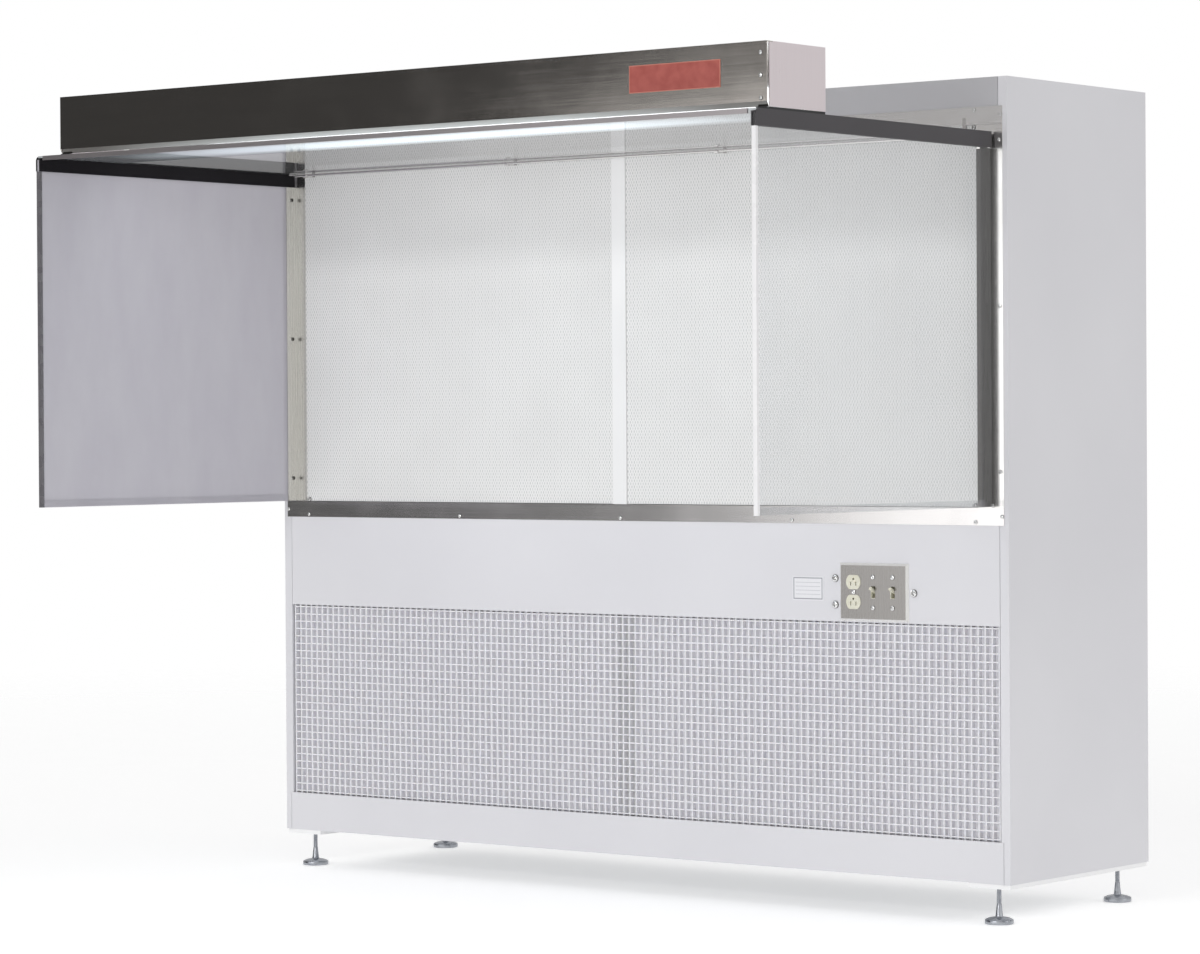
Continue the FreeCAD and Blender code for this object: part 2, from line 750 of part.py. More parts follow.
def rear_brackets():
    """Stainless angles that fasten the shields to the jambs."""
    pieces = []
    front_of_jamb = "-trim_sheet - gap"
    for side, name in ((-1, "left"), (1, "right")):
        upright = ("ledge_top + gap + trim_sheet", "rail_bottom - gap")
        leg_face = f"{SHIELD_IN} - gap"
        pieces.append(fuse(f"bracket_{name}", [
            block(
                f"bracket_{name}_leg", side_span(side, f"{leg_face} - trim_sheet", leg_face),
                ("-bracket_leg", front_of_jamb), upright,
            ),
            block(
                f"bracket_{name}_foot", side_span(side, "jamb_inner", f"{leg_face} - trim_sheet"),
                (f"{front_of_jamb} - trim_sheet", front_of_jamb), upright,
            ),
        ]))
    node("rear_brackets", several("brackets", pieces))


# ---------------------------------------------------------------- canopy

CANOPY_REAR = "-canopy_reach + canopy_depth"


def roof_sheet():
    """The clear roof between canopy and cabinet, carried on the rails."""
    node("roof_sheet", block(
        "roof_plate", both(f"{SHIELD_OUT}"), (f"{CANOPY_REAR} + gap", "-roof_rear"),
        ("roof_bottom", "roof_bottom + roof_sheet"),
    ))


def lamp_diffuser():
    """The white diffuser under the lamps, reaching forward to the front bar."""
    node("lamp_diffuser", block(
        "diffuser_plate", both(f"{SHIELD_OUT}"),
        ("-shield_reach + bar_depth + gap", f"{CANOPY_REAR} - gap"),
        ("roof_bottom", "roof_bottom + roof_sheet"),
    ))


def front_bar():
    """The bar between the rails, along the front edge of the diffuser."""
    node("front_bar", block(
        "bar", both("bar_half"), ("-shield_reach", "-shield_reach + bar_depth"),
        ("rail_top - bar_height", "rail_top"),
    ))


def canopy_fascia():
    """The brushed front of the canopy: an upright sheet with a sloped lip and a top return."""
    body = doc.addObject("PartDesign::Body", "canopy_fascia_body")
    profile = new_sketch(body, "canopy_fascia_profile", "YZ_Plane")
    front = "0 - canopy_reach"
    inside = "trim_sheet - canopy_reach"
    return_end = "fascia_top_return - canopy_reach"
    lip_front = "lip_slope - canopy_reach"
    lip_inside = "lip_slope + trim_sheet - canopy_reach"
    outline(profile, [
        (front, "canopy_bottom + lip_height"),
        (front, "canopy_top"),
        (return_end, "canopy_top"),
        (return_end, "canopy_top - trim_sheet"),
        (inside, "canopy_top - trim_sheet"),
        (inside, "canopy_bottom + lip_height"),
        (lip_inside, "canopy_bottom"),
        (lip_front, "canopy_bottom"),
    ])
    pad(body, profile, "2 * canopy_half", both_ways=True)
    put(body, "0", "0", "0")
    node("canopy_fascia", body)


def canopy_ends():
    """The two end caps of the light box, with a turned-in edge at the top."""
    pieces = []
    inside = "-canopy_reach + trim_sheet + gap"
    for side, name in ((-1, "left"), (1, "right")):
        plate_x = side_span(side, "canopy_half - trim_sheet", "canopy_half")
        fold_x = side_span(side, "canopy_half - fascia_top_return", "canopy_half - trim_sheet")
        pieces.append(fuse(f"canopy_end_{name}", [
            block(
                f"canopy_end_{name}_plate", plate_x, ("-canopy_reach + fascia_top_return + gap",
                                                      CANOPY_REAR), ("canopy_bottom", "canopy_top"),
            ),
            block(
                f"canopy_end_{name}_nose", plate_x,
                (f"{inside} + lip_slope + trim_sheet", "-canopy_reach + fascia_top_return + gap"),
                ("canopy_bottom", "canopy_top - trim_sheet - gap"),
            ),
            block(
                f"canopy_end_{name}_fold", fold_x,
                ("-canopy_reach + fascia_top_return + gap", CANOPY_REAR),
                ("canopy_top - trim_sheet", "canopy_top"),
            ),
        ]))
    node("canopy_ends", several("canopy_end_pair", pieces))


def canopy_shell():
    """The top and back of the light box, one folded sheet."""
    width = both("canopy_half - fascia_top_return - gap")
    node("canopy_shell", fuse("canopy_shell_fold", [
        block(
            "canopy_top_sheet", width, ("-canopy_reach + fascia_top_return + gap", CANOPY_REAR),
            ("canopy_top - trim_sheet", "canopy_top"),
        ),
        block(
            "canopy_rear_sheet", width, (f"{CANOPY_REAR} - trim_sheet", CANOPY_REAR),
            ("canopy_bottom", "canopy_top - trim_sheet"),
        ),
    ]))


def canopy_spacers():
    """Dark spacers that stand the light box on the rails."""
    node("canopy_spacers", several("spacer_pair", [
        block(
            f"spacer_{name}", side_span(side, "spacer_inner", "spacer_outer"),
            ("-canopy_reach", CANOPY_REAR),
            ("roof_bottom + roof_sheet + gap", "canopy_bottom - gap"),
        )
        for side, name in ((-1, "left"), (1, "right"))
    ]))


def lamps():
    """Two tubes, their four holders and the ballast, hung from the light box's top."""
    middle = "-canopy_reach + canopy_depth / 2"
    ceiling = "canopy_top - trim_sheet - gap"
    tubes = []
    holders = []
    for row, sign in (("front", "-"), ("rear", "+")):
        y = f"{middle} {sign} tube_spread"
        tubes.append(round_bar(
            f"tube_{row}", "x", "tube_radius", "2 * tube_half", ("-tube_half", y, "tube_z"),
        ))
        for side, name in ((-1, "left"), (1, "right")):
            holders.append(block(
                f"holder_{row}_{name}",
                side_span(side, "tube_half + gap", "tube_half + gap + holder_width"),
                (f"{y} - holder_depth / 2", f"{y} + holder_depth / 2"),
                ("holder_bottom", ceiling),
            ))
    node("lamp_tubes", several("tubes", tubes))
    node("lamp_holders", several("holders", holders))
    node("ballast", block(
        "ballast_case", both("ballast_half"),
        (f"{middle} - ballast_depth / 2", f"{middle} + ballast_depth / 2"),
        (f"{ceiling} - ballast_height", ceiling),
    ))


def hanger_rod():
    """The rod across the filters, for hanging bottles."""
    node("hanger_rod", round_bar(
        "rod", "x", "rod_radius", "2 * rod_half", ("-rod_half", "-rod_reach", "rod_z"),
    ))


def rod_clips():
    """Four clips that hold the rod off the header strip."""
    clips = []
    header_face = "-trim_sheet - gap"
    for name, x in (
        ("left", "-clip_outer"), ("mid_left", "-clip_inner"),
        ("mid_right", "clip_inner"), ("right", "clip_outer"),
    ):
        span = (f"{x} - clip_half", f"{x} + clip_half")
        eye = round_bar(
            f"clip_{name}_eye", "x", "clip_radius", "2 * clip_half",
            (span[0], "-rod_reach", "rod_z"),
        )
        arm = block(
            f"clip_{name}_arm", span, ("-rod_reach", header_face),
            ("rod_z - clip_half", "rod_z - clip_half + trim_sheet"),
        )
        tab = block(
            f"clip_{name}_tab", span, (f"{header_face} - trim_sheet", header_face),
            ("rod_z - clip_half", "clip_top"),
        )
        hole = round_bar(
            f"clip_{name}_hole", "x", "rod_radius + shaft_clearance", "4 * clip_half",
            (f"{x} - 2 * clip_half", "-rod_reach", "rod_z"),
        )
        top = block(
            f"clip_{name}_mouth", (f"{x} - 2 * clip_half", f"{x} + 2 * clip_half"),
            ("-rod_reach - 2 * clip_radius", "-rod_reach + 2 * clip_radius"),
            ("rod_z + rod_radius / 2", "rod_z + 2 * clip_radius"),
        )
        ring = cut(f"clip_{name}_ring", eye, [hole, top])
        clips.append(cut(f"clip_{name}", fuse(f"clip_{name}_solid", [ring, arm, tab]), [hole]))
    node("rod_clips", several("clips", clips))


# ---------------------------------------------------------------- outlet and switches


def device_x(gang_index):
    """The x of one of the three positions in the plate."""
    return f"plate_x + {gang_index} * gang"


def wall_plate():
    """A three-gang plate: bevelled all round, hollow behind, cut for the socket and two levers."""
    body = doc.addObject("PartDesign::Body", "wall_plate_body")
    profile = new_sketch(body, "wall_plate_profile", "XZ_Plane")
    half_w, half_h = "plate_width / 2", "plate_height / 2"
    outline(profile, [
        (f"0 - {half_w}", f"0 - {half_h}"), (half_w, f"0 - {half_h}"),
        (half_w, half_h), (f"0 - {half_w}", half_h),
    ])
    solid = pad(body, profile, "plate_proud")
    doc.recompute()
    front = min(range(len(solid.Shape.Faces)), key=lambda i: solid.Shape.Faces[i].CenterOfMass.y)
    bevel = body.newObject("PartDesign::Chamfer", "wall_plate_bevel")
    bevel.Base = (solid, [f"Face{front + 1}"])
    bind(bevel, {"Size": "plate_bevel - 0.5 * plate_sheet"})
    put(body, "plate_x", "0", "plate_z")
    tools = [block(
        "plate_hollow",
        ("plate_x - plate_width / 2 + plate_bevel", "plate_x + plate_width / 2 - plate_bevel"),
        ("-plate_proud + plate_sheet", "plate_sheet"),
        ("plate_z - plate_height / 2 + plate_bevel", "plate_z + plate_height / 2 - plate_bevel"),
    )]
    through = ("-2 * plate_proud", "plate_proud")
    for index in (0, 1):
        x = device_x(index)
        tools.append(block(
            f"plate_slot_{index}", (f"{x} - slot_half", f"{x} + slot_half"), through,
            ("plate_z - slot_height / 2", "plate_z + slot_height / 2"),
        ))
    for name, sign in (("low", "-"), ("high", "+")):
        tools.append(socket_face(
            f"plate_socket_{name}", sign, "gap", "-2 * plate_proud", "3 * plate_proud",
        ))
    node("wall_plate", cut("wall_plate_cut", body, tools))


def socket_face(name, sign, margin, front, depth):
    """A disc with flat top and bottom, one half of the double socket, grown by a margin."""
    x = device_x(-1)
    z = f"plate_z {sign} socket_spread"
    disc = round_bar(name + "_disc", "y", f"socket_radius + {margin}", depth, (x, front, z))
    flats = block(
        name + "_flats", (f"{x} - 2 * socket_radius", f"{x} + 2 * socket_radius"),
        (front, f"({front}) + ({depth})"),
        (f"{z} - socket_flat - {margin}", f"{z} + socket_flat + {margin}"),
    )
    common = doc.addObject("Part::Common", name)
    common.Base = disc
    common.Tool = flats
    return common


def device_box():
    """The steel box behind the plate, open at the front."""
    x = ("plate_x - box_half_width", "plate_x + box_half_width")
    z = ("plate_z - box_half_height", "plate_z + box_half_height")
    outer = block("device_box_outer", x, ("0", "box_depth"), z)
    inner = block(
        "device_box_inner", (f"{x[0]} + box_wall", f"{x[1]} - box_wall"),
        ("-box_wall", "box_depth - box_wall"), (f"{z[0]} + box_wall", f"{z[1]} - box_wall"),
    )
    node("device_box", cut("device_box_cut", outer, [inner]))


def receptacle():
    """The double socket: a body behind the plate and two slotted faces through it."""
    x = device_x(-1)
    body = block(
        "socket_body", (f"{x} - device_half_width", f"{x} + device_half_width"),
        ("-plate_proud + plate_sheet + gap", "device_depth"),
        ("plate_z - device_half_height", "plate_z + device_half_height"),
    )
    front = "-plate_proud - socket_proud"
    pieces = [body]
    slots = []
    for name, sign in (("low", "-"), ("high", "+")):
        pieces.append(socket_face(f"socket_{name}", sign, "0", front, "socket_proud + 2 * plate_sheet"))
        z = f"plate_z {sign} socket_spread - slot_fall"
        for hand, across in (("left", "-"), ("right", "+")):
            centre = f"{x} {across} slot_spread"
            slots.append(block(
                f"socket_{name}_slot_{hand}", (f"{centre} - slot_width / 2", f"{centre} + slot_width / 2"),
                (f"{front} - gap", f"{front} + slot_depth"),
                (f"{z} - slot_length / 2", f"{z} + slot_length / 2"),
            ))
        slots.append(round_bar(
            f"socket_{name}_ground", "y", "ground_radius", "slot_depth + gap",
            (x, f"{front} - gap", f"{z} + slot_fall + ground_rise"),
        ))
    node("receptacle", cut("receptacle_cut", fuse("receptacle_solid", pieces), slots))


def switch_bodies():
    """Two switch bodies, each hollow where its lever rocks."""
    switches = []
    for index in (0, 1):
        x = device_x(index)
        solid = block(
            f"switch_{index}_body", (f"{x} - device_half_width", f"{x} + device_half_width"),
            ("-plate_proud + plate_sheet + gap", "device_depth"),
            ("plate_z - device_half_height", "plate_z + device_half_height"),
        )
        nose = block(
            f"switch_{index}_nose", (f"{x} - slot_half + gap", f"{x} + slot_half - gap"),
            ("-plate_proud - gap", "0"),
            ("plate_z - slot_height / 2 + gap", "plate_z + slot_height / 2 - gap"),
        )
        wall = "gap + collar_wall"
        hollow = block(
            f"switch_{index}_hollow", (f"{x} - slot_half + {wall}", f"{x} + slot_half - {wall}"),
            ("-2 * plate_proud", "device_depth / 2"),
            (f"plate_z - slot_height / 2 + {wall}", f"plate_z + slot_height / 2 - {wall}"),
        )
        switches.append(cut(f"switch_{index}", fuse(f"switch_{index}_solid", [solid, nose]), [hollow]))
    node("switch_bodies", several("switch_pair", switches))


def toggle_lever(index, label):
    """A lever on its boss, tapered to the tip and tilted up as when the switch is on."""
    body = doc.addObject("PartDesign::Body", label + "_body")
    profile = new_sketch(body, label + "_profile", "YZ_Plane")
    outline(profile, [
        ("0 - lever_length", "0 - lever_tip / 2 - gap"),
        ("0 - lever_length", "lever_tip / 2 + gap"),
        ("0 - gap", "lever_root / 2 + gap"),
        ("lever_boss", "lever_root / 2 + gap"),
        ("lever_boss", "0 - lever_root / 2 - gap"),
        ("0 - gap", "0 - lever_root / 2 - gap"),
    ])
    pad(body, profile, "2 * lever_half", both_ways=True)
    body.Placement = FreeCAD.Placement(Vector(), FreeCAD.Rotation(Vector(1, 0, 0), -size("lever_tilt")))
    put(body, device_x(index), "lever_pivot", "plate_z")
    node(label, body)


# ---------------------------------------------------------------- labels, gland and fasteners


def labels():
    """The plain red sign on the canopy and the plain rating label on the apron."""
    node("name_plate", block(
        "sign", ("sign_left", "sign_left + sign_width"),
        ("-canopy_reach - sign_sheet", "-canopy_reach"),
        ("sign_bottom", "sign_bottom + sign_height"),
    ))
    node("rating_label", block(
        "rating", ("label_left", "label_left + label_width"), ("-sign_sheet", "0"),
        ("label_bottom", "label_bottom + label_height"),
    ))


def cord_gland():
    """The bush in the back panel that the supply cord passes through."""
    barrel = round_bar(
        "gland_barrel", "y", "gland_radius", "gland_length", ("gland_x", BACK, "gland_z"),
    )
    bore = round_bar(
        "gland_bore_cut", "y", "gland_bore", "2 * gland_length",
        ("gland_x", f"{BACK} - panel_sheet", "gland_z"),
    )
    node("cord_gland", cut("cord_gland_cut", barrel, [bore]))


def domed_head(radius, height):
    """A screw head: a short drum with a spherical top, pointing to +Z."""
    cap = height * 2 / 3
    ball_radius = (radius ** 2 + cap ** 2) / (2 * cap)
    drum = Part.makeCylinder(radius, height)
    ball = Part.makeSphere(ball_radius, Vector(0, 0, height - ball_radius), Vector(1, 0, 0))
    return drum.common(ball)


def heads_at(head, places, direction):
    """Copies of a screw head on a list of places, all pointing one way."""
    turn = FreeCAD.Rotation(Vector(0, 0, 1), direction)
    copies = []
    for x, y, z in places:
        copy = head.copy()
        copy.Placement = FreeCAD.Placement(
            Vector(x, size(FACE) + y, size("foot_height") + z), turn,
        )
        copies.append(copy)
    return copies


def panel_screws():
    """Small heads on the strips, the right end of the canopy and the shield brackets."""
    head = domed_head(size("head_radius"), size("head_height"))
    face = -size("trim_sheet")
    rise = size("strip_screw_rise")
    end = size("strip_end_screw")
    pitch = size("strip_screw_pitch")
    ledge = size("ledge_bottom")
    header = size("fascia_bottom")
    middle_of_ledge = size("(ledge_bottom + ledge_top) / 2")
    middle_of_header = size("fascia_bottom - (ledge_top - ledge_bottom) / 2")
    front = []
    for number in range(-2, 3):
        front.append((number * pitch, face, ledge + rise))
        front.append((number * pitch, face, header - rise))
    jamb_x = size("body_width / 2 - strip_inset - 2 * head_radius + 1")
    jamb_low, jamb_high = size("ledge_top + shield_rear + 62"), size("header_bottom - 31")
    for sign in (-1, 1):
        front.append((sign * end, face, middle_of_ledge))
        front.append((sign * end, face, middle_of_header))
        for step in range(3):
            front.append((sign * jamb_x, face, jamb_low + step * (jamb_high - jamb_low) / 2))
    canopy_face = -size("canopy_reach")
    canopy_x = size("canopy_half - fascia_top_return / 2 - head_radius")
    canopy_low, canopy_high = size("canopy_bottom + lip_height + 6"), size("canopy_top - 20")
    for step in range(3):
        front.append((canopy_x, canopy_face, canopy_low + step * (canopy_high - canopy_low) / 2))
    copies = heads_at(head, front, Vector(0, -1, 0))
    leg_face = size(f"{SHIELD_IN} - gap - trim_sheet")
    leg_y = -size("bracket_leg") / 2
    bracket_low, bracket_high = size("trim_bottom + 50"), size("rail_bottom - 28")
    for sign in (-1, 1):
        places = [
            (sign * leg_face, leg_y, bracket_low + step * (bracket_high - bracket_low) / 2)
            for step in range(3)
        ]
        copies += heads_at(head, places, Vector(-sign, 0, 0))
    feature("panel_screws", Part.makeCompound(copies + corner_screws()))


def corner_screws():
    """Larger heads close to the corners of the filter opening."""
    head = domed_head(size("large_head_radius"), size("large_head_height"))
    low = size("ledge_top + large_head_offset")
    high = size("header_bottom - large_head_offset")
    places = []
    for sign in (-1, 1):
        places.append((sign * size("large_head_x"), size("screen_front"), low))
        places.append((sign * size("large_head_x"), size("screen_front"), high))
        places.append((sign * size("shield_head_x"), -size("trim_sheet"), low))
    return heads_at(head, places, Vector(0, -1, 0))


def box_screws():
    """Round chromed heads: three beside the plate and four on it."""
    head = domed_head(size("round_head_radius"), size("round_head_height"))
    small = domed_head(size("plate_screw_radius"), size("round_head_height / 2"))
    x, z = size("plate_x"), size("plate_z")
    reach = size("plate_width / 2 + 12")
    beside = [(x - reach, 0, z + 26), (x - reach, 0, z - 26), (x + reach, 0, z)]
    on_plate = [
        (size(device_x(index)), -size("plate_proud"), z + sign * size("toggle_screw_spread"))
        for index in (0, 1)
        for sign in (-1, 1)
    ]
    on_plate.append((size(device_x(-1)), -size("plate_proud"), z))
    forward = Vector(0, -1, 0)
    copies = heads_at(head, beside, forward) + heads_at(small, on_plate, forward)
    feature("box_screws", Part.makeCompound(copies))


def build():
    """Make every sub-part."""
    for side, name in ((-1, "left"), (1, "right")):
        side_panel(side, f"side_panel_{name}")
        filter_frame(side, f"filter_frame_{name}")
        screen(side, f"screen_{name}")
        blower_housing(side, f"blower_housing_{name}")
        blower_wheel(side, f"blower_wheel_{name}")
        blower_motor(side, f"blower_motor_{name}")
        shield(side, f"shield_{name}")
        rail(side, f"rail_{name}")
    top_cover()
    back_panel()
    bottom_pan()
    base_rail()
    front_apron()
    ledge_strip()
    header_strip()
    jamb_strips()
    skids()
    for name, x, y in foot_places():
        levelling_foot(name, x, y)
    eggcrate_grille()
    grille_tracks()
    prefilters()
    filter_media()
    filter_divider()
    plenum_shelf()
    shield_trims()
    rear_brackets()
    roof_sheet()
    lamp_diffuser()
    front_bar()
    canopy_fascia()
    canopy_ends()
    canopy_shell()
    canopy_spacers()
    lamps()
    hanger_rod()
    rod_clips()
    wall_plate()
    device_box()
    receptacle()
    switch_bodies()
    toggle_lever(0, "toggle_left")
    toggle_lever(1, "toggle_right")
    labels()
    cord_gland()
    panel_screws()
    box_screws()


def check_and_write():
    """Stop on any failed object, then write one STEP file per node."""
    doc.recompute()
    failed = [item.Name for item in doc.Objects if {"Invalid", "Error"} & set(item.State)]
    if failed:
        raise RuntimeError(f"failed objects: {failed}")
    os.makedirs("parts", exist_ok=True)
    for label, item in nodes.items():
        shape = item.Shape
        if shape.isNull() or not shape.isValid():
            raise RuntimeError(f"{label} has no valid shape")
        shape.exportStep(f"parts/{label}.step")
        print(f"{label}: {len(shape.Solids)} solids, {shape.Volume / 1000:.1f} cm3")


fill_sheet()
build()
check_and_write()
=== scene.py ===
"""Looks of the clean-air hood: materials for every CAD node, finer pieces, studio and camera."""
import json
import math
import bmesh
import bpy
from mathutils import Matrix, Vector


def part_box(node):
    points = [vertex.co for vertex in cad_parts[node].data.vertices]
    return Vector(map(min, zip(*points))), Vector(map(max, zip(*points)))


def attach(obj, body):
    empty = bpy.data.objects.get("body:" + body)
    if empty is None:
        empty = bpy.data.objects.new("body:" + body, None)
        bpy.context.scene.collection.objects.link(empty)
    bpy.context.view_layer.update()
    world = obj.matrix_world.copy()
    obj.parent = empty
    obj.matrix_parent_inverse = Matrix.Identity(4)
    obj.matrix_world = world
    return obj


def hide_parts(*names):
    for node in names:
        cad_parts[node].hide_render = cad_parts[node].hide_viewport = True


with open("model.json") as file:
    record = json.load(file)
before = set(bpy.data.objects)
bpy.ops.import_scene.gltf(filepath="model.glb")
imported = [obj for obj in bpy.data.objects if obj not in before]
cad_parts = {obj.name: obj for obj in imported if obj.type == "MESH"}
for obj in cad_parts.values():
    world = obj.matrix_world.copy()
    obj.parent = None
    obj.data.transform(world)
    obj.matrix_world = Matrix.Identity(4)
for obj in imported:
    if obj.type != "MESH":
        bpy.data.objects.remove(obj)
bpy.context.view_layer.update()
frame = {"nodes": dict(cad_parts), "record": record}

CABINET = "cabinet"
MM = 0.001

# How often brushed steel's grain repeats per metre along each axis: rarely along the brushing.
BRUSHED_ALONG_X = (6.0, 2600.0, 2600.0)
BRUSHED_UPRIGHT = (2600.0, 2600.0, 6.0)


# ---------------------------------------------------------------- shader helper


class Shader:
    """A node material with a Principled shader, and short calls that add nodes to it."""

    def __init__(self, name):
        self.material = bpy.data.materials.new(name)
        self.material.use_nodes = True
        self.tree = self.material.node_tree
        self.principled = self.tree.nodes["Principled BSDF"]
        self.output = self.tree.nodes["Material Output"]
        self.place = self.node("ShaderNodeTexCoord").outputs["Object"]

    def node(self, kind, inputs=None, **settings):
        """A new node with its settings and its inputs, each a value or another node's socket."""
        made = self.tree.nodes.new(kind)
        for key, value in settings.items():
            setattr(made, key, value)
        for key, value in (inputs or {}).items():
            self.feed(made.inputs[key], value)
        return made

    def feed(self, socket, value):
        """Links a socket to another one, or sets its value."""
        if isinstance(value, bpy.types.NodeSocket):
            self.tree.links.new(value, socket)
        else:
            socket.default_value = value

    def stretched(self, along, turn=(0, 0, 0)):
        """The place on the object, scaled by a different amount along each axis."""
        mapping = self.node("ShaderNodeMapping", {"Vector": self.place, "Scale": along, "Rotation": turn})
        return mapping.outputs["Vector"]

    def noise(self, scale, detail=3.0, where=None, roughness=0.5):
        """Cloudy noise from 0 to 1."""
        made = self.node("ShaderNodeTexNoise", {
            "Vector": where or self.place, "Scale": scale, "Detail": detail, "Roughness": roughness,
        })
        return made.outputs["Fac"]

    def cells(self, scale, where=None, feature="F1"):
        """Distance to the nearest of scattered points, or to the edge between their cells."""
        made = self.node(
            "ShaderNodeTexVoronoi", {"Vector": where or self.place, "Scale": scale}, feature=feature,
        )
        return made.outputs["Distance"]

    def between(self, value, low, high, to_low=0.0, to_high=1.0):
        """A value stretched so that low to high becomes to_low to to_high, and held there."""
        made = self.node("ShaderNodeMapRange", {
            "Value": value, "From Min": low, "From Max": high, "To Min": to_low, "To Max": to_high,
        })
        return made.outputs["Result"]

    def math(self, operation, first, second=0.0):
        """One step of arithmetic."""
        made = self.node("ShaderNodeMath", {0: first, 1: second}, operation=operation)
        return made.outputs[0]

    def blend(self, factor, first, second):
        """A colour between two colours."""
        made = self.node("ShaderNodeMix", {"Factor": factor}, data_type="RGBA")
        self.feed(made.inputs[6], first)
        self.feed(made.inputs[7], second)
        return made.outputs[2]

    def mottled(self, value, dark, light):
        """A colour that runs from dark to light as the value does, given as two (r, g, b)."""
        return self.blend(value, colour(*dark), colour(*light))

    def axis(self, name):
        """One coordinate of the place on the object."""
        return self.node("ShaderNodeSeparateXYZ", {"Vector": self.place}).outputs[name]

    def bump(self, height, distance, strength=1.0):
        """A surface that rises with a height by up to a distance in metres."""
        made = self.node("ShaderNodeBump", {"Height": height, "Distance": distance, "Strength": strength})
        return made.outputs["Normal"]

    def paint(self, **inputs):
        """Sets the Principled shader's inputs and gives the material back."""
        for key, value in inputs.items():
            self.feed(self.principled.inputs[key.replace("_", " ")], value)
        return self.material


def colour(red, green, blue):
    """A colour with full opacity."""
    return (red, green, blue, 1.0)


def rim_distance(s, low, high):
    """How far a point of an upright flat plate lies inside the plate's nearest edge."""
    middle = (low + high) / 2
    half_width, half_height = (high.x - low.x) / 2, (high.z - low.z) / 2
    side = s.math("SUBTRACT", half_width, s.math("ABSOLUTE", s.math("SUBTRACT", s.axis("X"), middle.x)))
    rise = s.math("SUBTRACT", half_height, s.math("ABSOLUTE", s.math("SUBTRACT", s.axis("Z"), middle.z)))
    return s.math("MINIMUM", side, rise)


def on_right_half(s):
    """0 on the hood's left half and 1 on its right, for a node that has a piece on each side."""
    middle_band = 100 * MM
    return s.between(s.axis("X"), -middle_band, middle_band)


# ---------------------------------------------------------------- metals and paints


def powder_coat(name, light, dark, gloss=0.42, shine=0.5):
    """Baked paint: a fine orange-peel skin with faint clouds of shade."""
    s = Shader(name)
    clouds = s.noise(2.3, 4.0)
    peel = s.noise(420.0, 2.0)
    specks = s.between(s.cells(260.0), 0.0, 0.16, 0.86, 1.0)
    tint = s.mottled(s.between(clouds, 0.35, 0.68), dark, light)
    speckled = s.node("ShaderNodeMix", {"Factor": 0.25}, data_type="RGBA", blend_type="MULTIPLY")
    s.feed(speckled.inputs[6], tint)
    s.feed(speckled.inputs[7], s.mottled(specks, (0.72, 0.72, 0.72), (1, 1, 1)))
    return s.paint(
        Base_Color=speckled.outputs[2], Roughness=s.between(clouds, 0.3, 0.7, gloss - 0.05, gloss + 0.06),
        Normal=s.bump(peel, 0.12 * MM, 0.5), Specular_IOR_Level=shine, Coat_Weight=0.3 * shine,
        Coat_Roughness=0.3,
    )


def brush_lines(s, grain):
    """The fine lines of brushing, from 0 to 1: short across it and long along it."""
    return s.noise(1.0, 4.0, s.stretched(grain), 0.6)


def brush_bump(s, lines):
    """The very shallow relief of brushed lines."""
    return s.bump(lines, 0.002 * MM, 0.3)


def brushed_metal(name, light, dark, grain, rough):
    """Metal with a directional grain, faint blotches and smudges."""
    s = Shader(name)
    lines = brush_lines(s, grain)
    blotches = s.noise(2.1, 3.0)
    smudge = s.between(s.noise(9.0, 4.0), 0.42, 0.74)
    shade = s.math("ADD", s.math("MULTIPLY", lines, 0.8), s.math("MULTIPLY", blotches, 0.2))
    tint = s.mottled(s.between(shade, 0.2, 0.8), dark, light)
    smears = s.math("MULTIPLY", s.math("MULTIPLY", smudge, blotches), 0.06)
    wear = s.math("ADD", s.between(lines, 0.3, 0.7, rough - 0.03, rough + 0.04), smears)
    return s.paint(Base_Color=tint, Metallic=1.0, Roughness=wear, Normal=brush_bump(s, lines))


def bevelled_plate(name):
    """Brushed wall plate with a painted highlight on the bevel all round its rim."""
    s = Shader(name)
    low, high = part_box("wall_plate")
    lines = brush_lines(s, BRUSHED_UPRIGHT)
    steel = s.mottled(s.between(lines, 0.3, 0.7), (0.345, 0.33, 0.318), (0.38, 0.366, 0.353))
    bevel_inner, bevel_outer = 5 * MM, 4 * MM
    # Painted highlight: the bevel all round the rim is coloured near white, as if it caught the light.
    bevel_highlight = s.between(rim_distance(s, low, high), bevel_outer, bevel_inner, 1.0, 0.0)
    return s.paint(
        Base_Color=s.blend(bevel_highlight, steel, colour(0.93, 0.92, 0.90)), Metallic=1.0,
        Roughness=s.between(lines, 0.3, 0.7, 0.24, 0.31), Normal=brush_bump(s, lines),
    )


def bracket_steel(name):
    """Bright brushed steel on the left bracket, and the dark gasket that backs the right one."""
    s = Shader(name)
    lines = brush_lines(s, BRUSHED_UPRIGHT)
    steel = s.mottled(lines, (0.74, 0.73, 0.70), (0.79, 0.78, 0.75))
    gasket = s.mottled(lines, (0.062, 0.059, 0.056), (0.074, 0.070, 0.067))
    return s.paint(
        Base_Color=s.blend(on_right_half(s), steel, gasket), Metallic=1.0,
        Roughness=s.between(lines, 0.3, 0.7, 0.22, 0.3), Normal=brush_bump(s, lines),
    )


def galvanised(name):
    """Zinc-coated sheet with its flat crystals."""
    s = Shader(name)
    crystals = s.node("ShaderNodeTexVoronoi", {"Vector": s.place, "Scale": 85.0})
    shade = s.node("ShaderNodeSeparateColor", {"Color": crystals.outputs["Color"]}).outputs["Red"]
    dull = s.noise(7.0, 4.0)
    tint = s.mottled(shade, (0.42, 0.43, 0.45), (0.62, 0.63, 0.64))
    return s.paint(
        Base_Color=tint, Metallic=0.85, Roughness=s.between(shade, 0.0, 1.0, 0.32, 0.5),
        Normal=s.bump(s.math("ADD", shade, dull), 0.03 * MM, 0.5),
    )


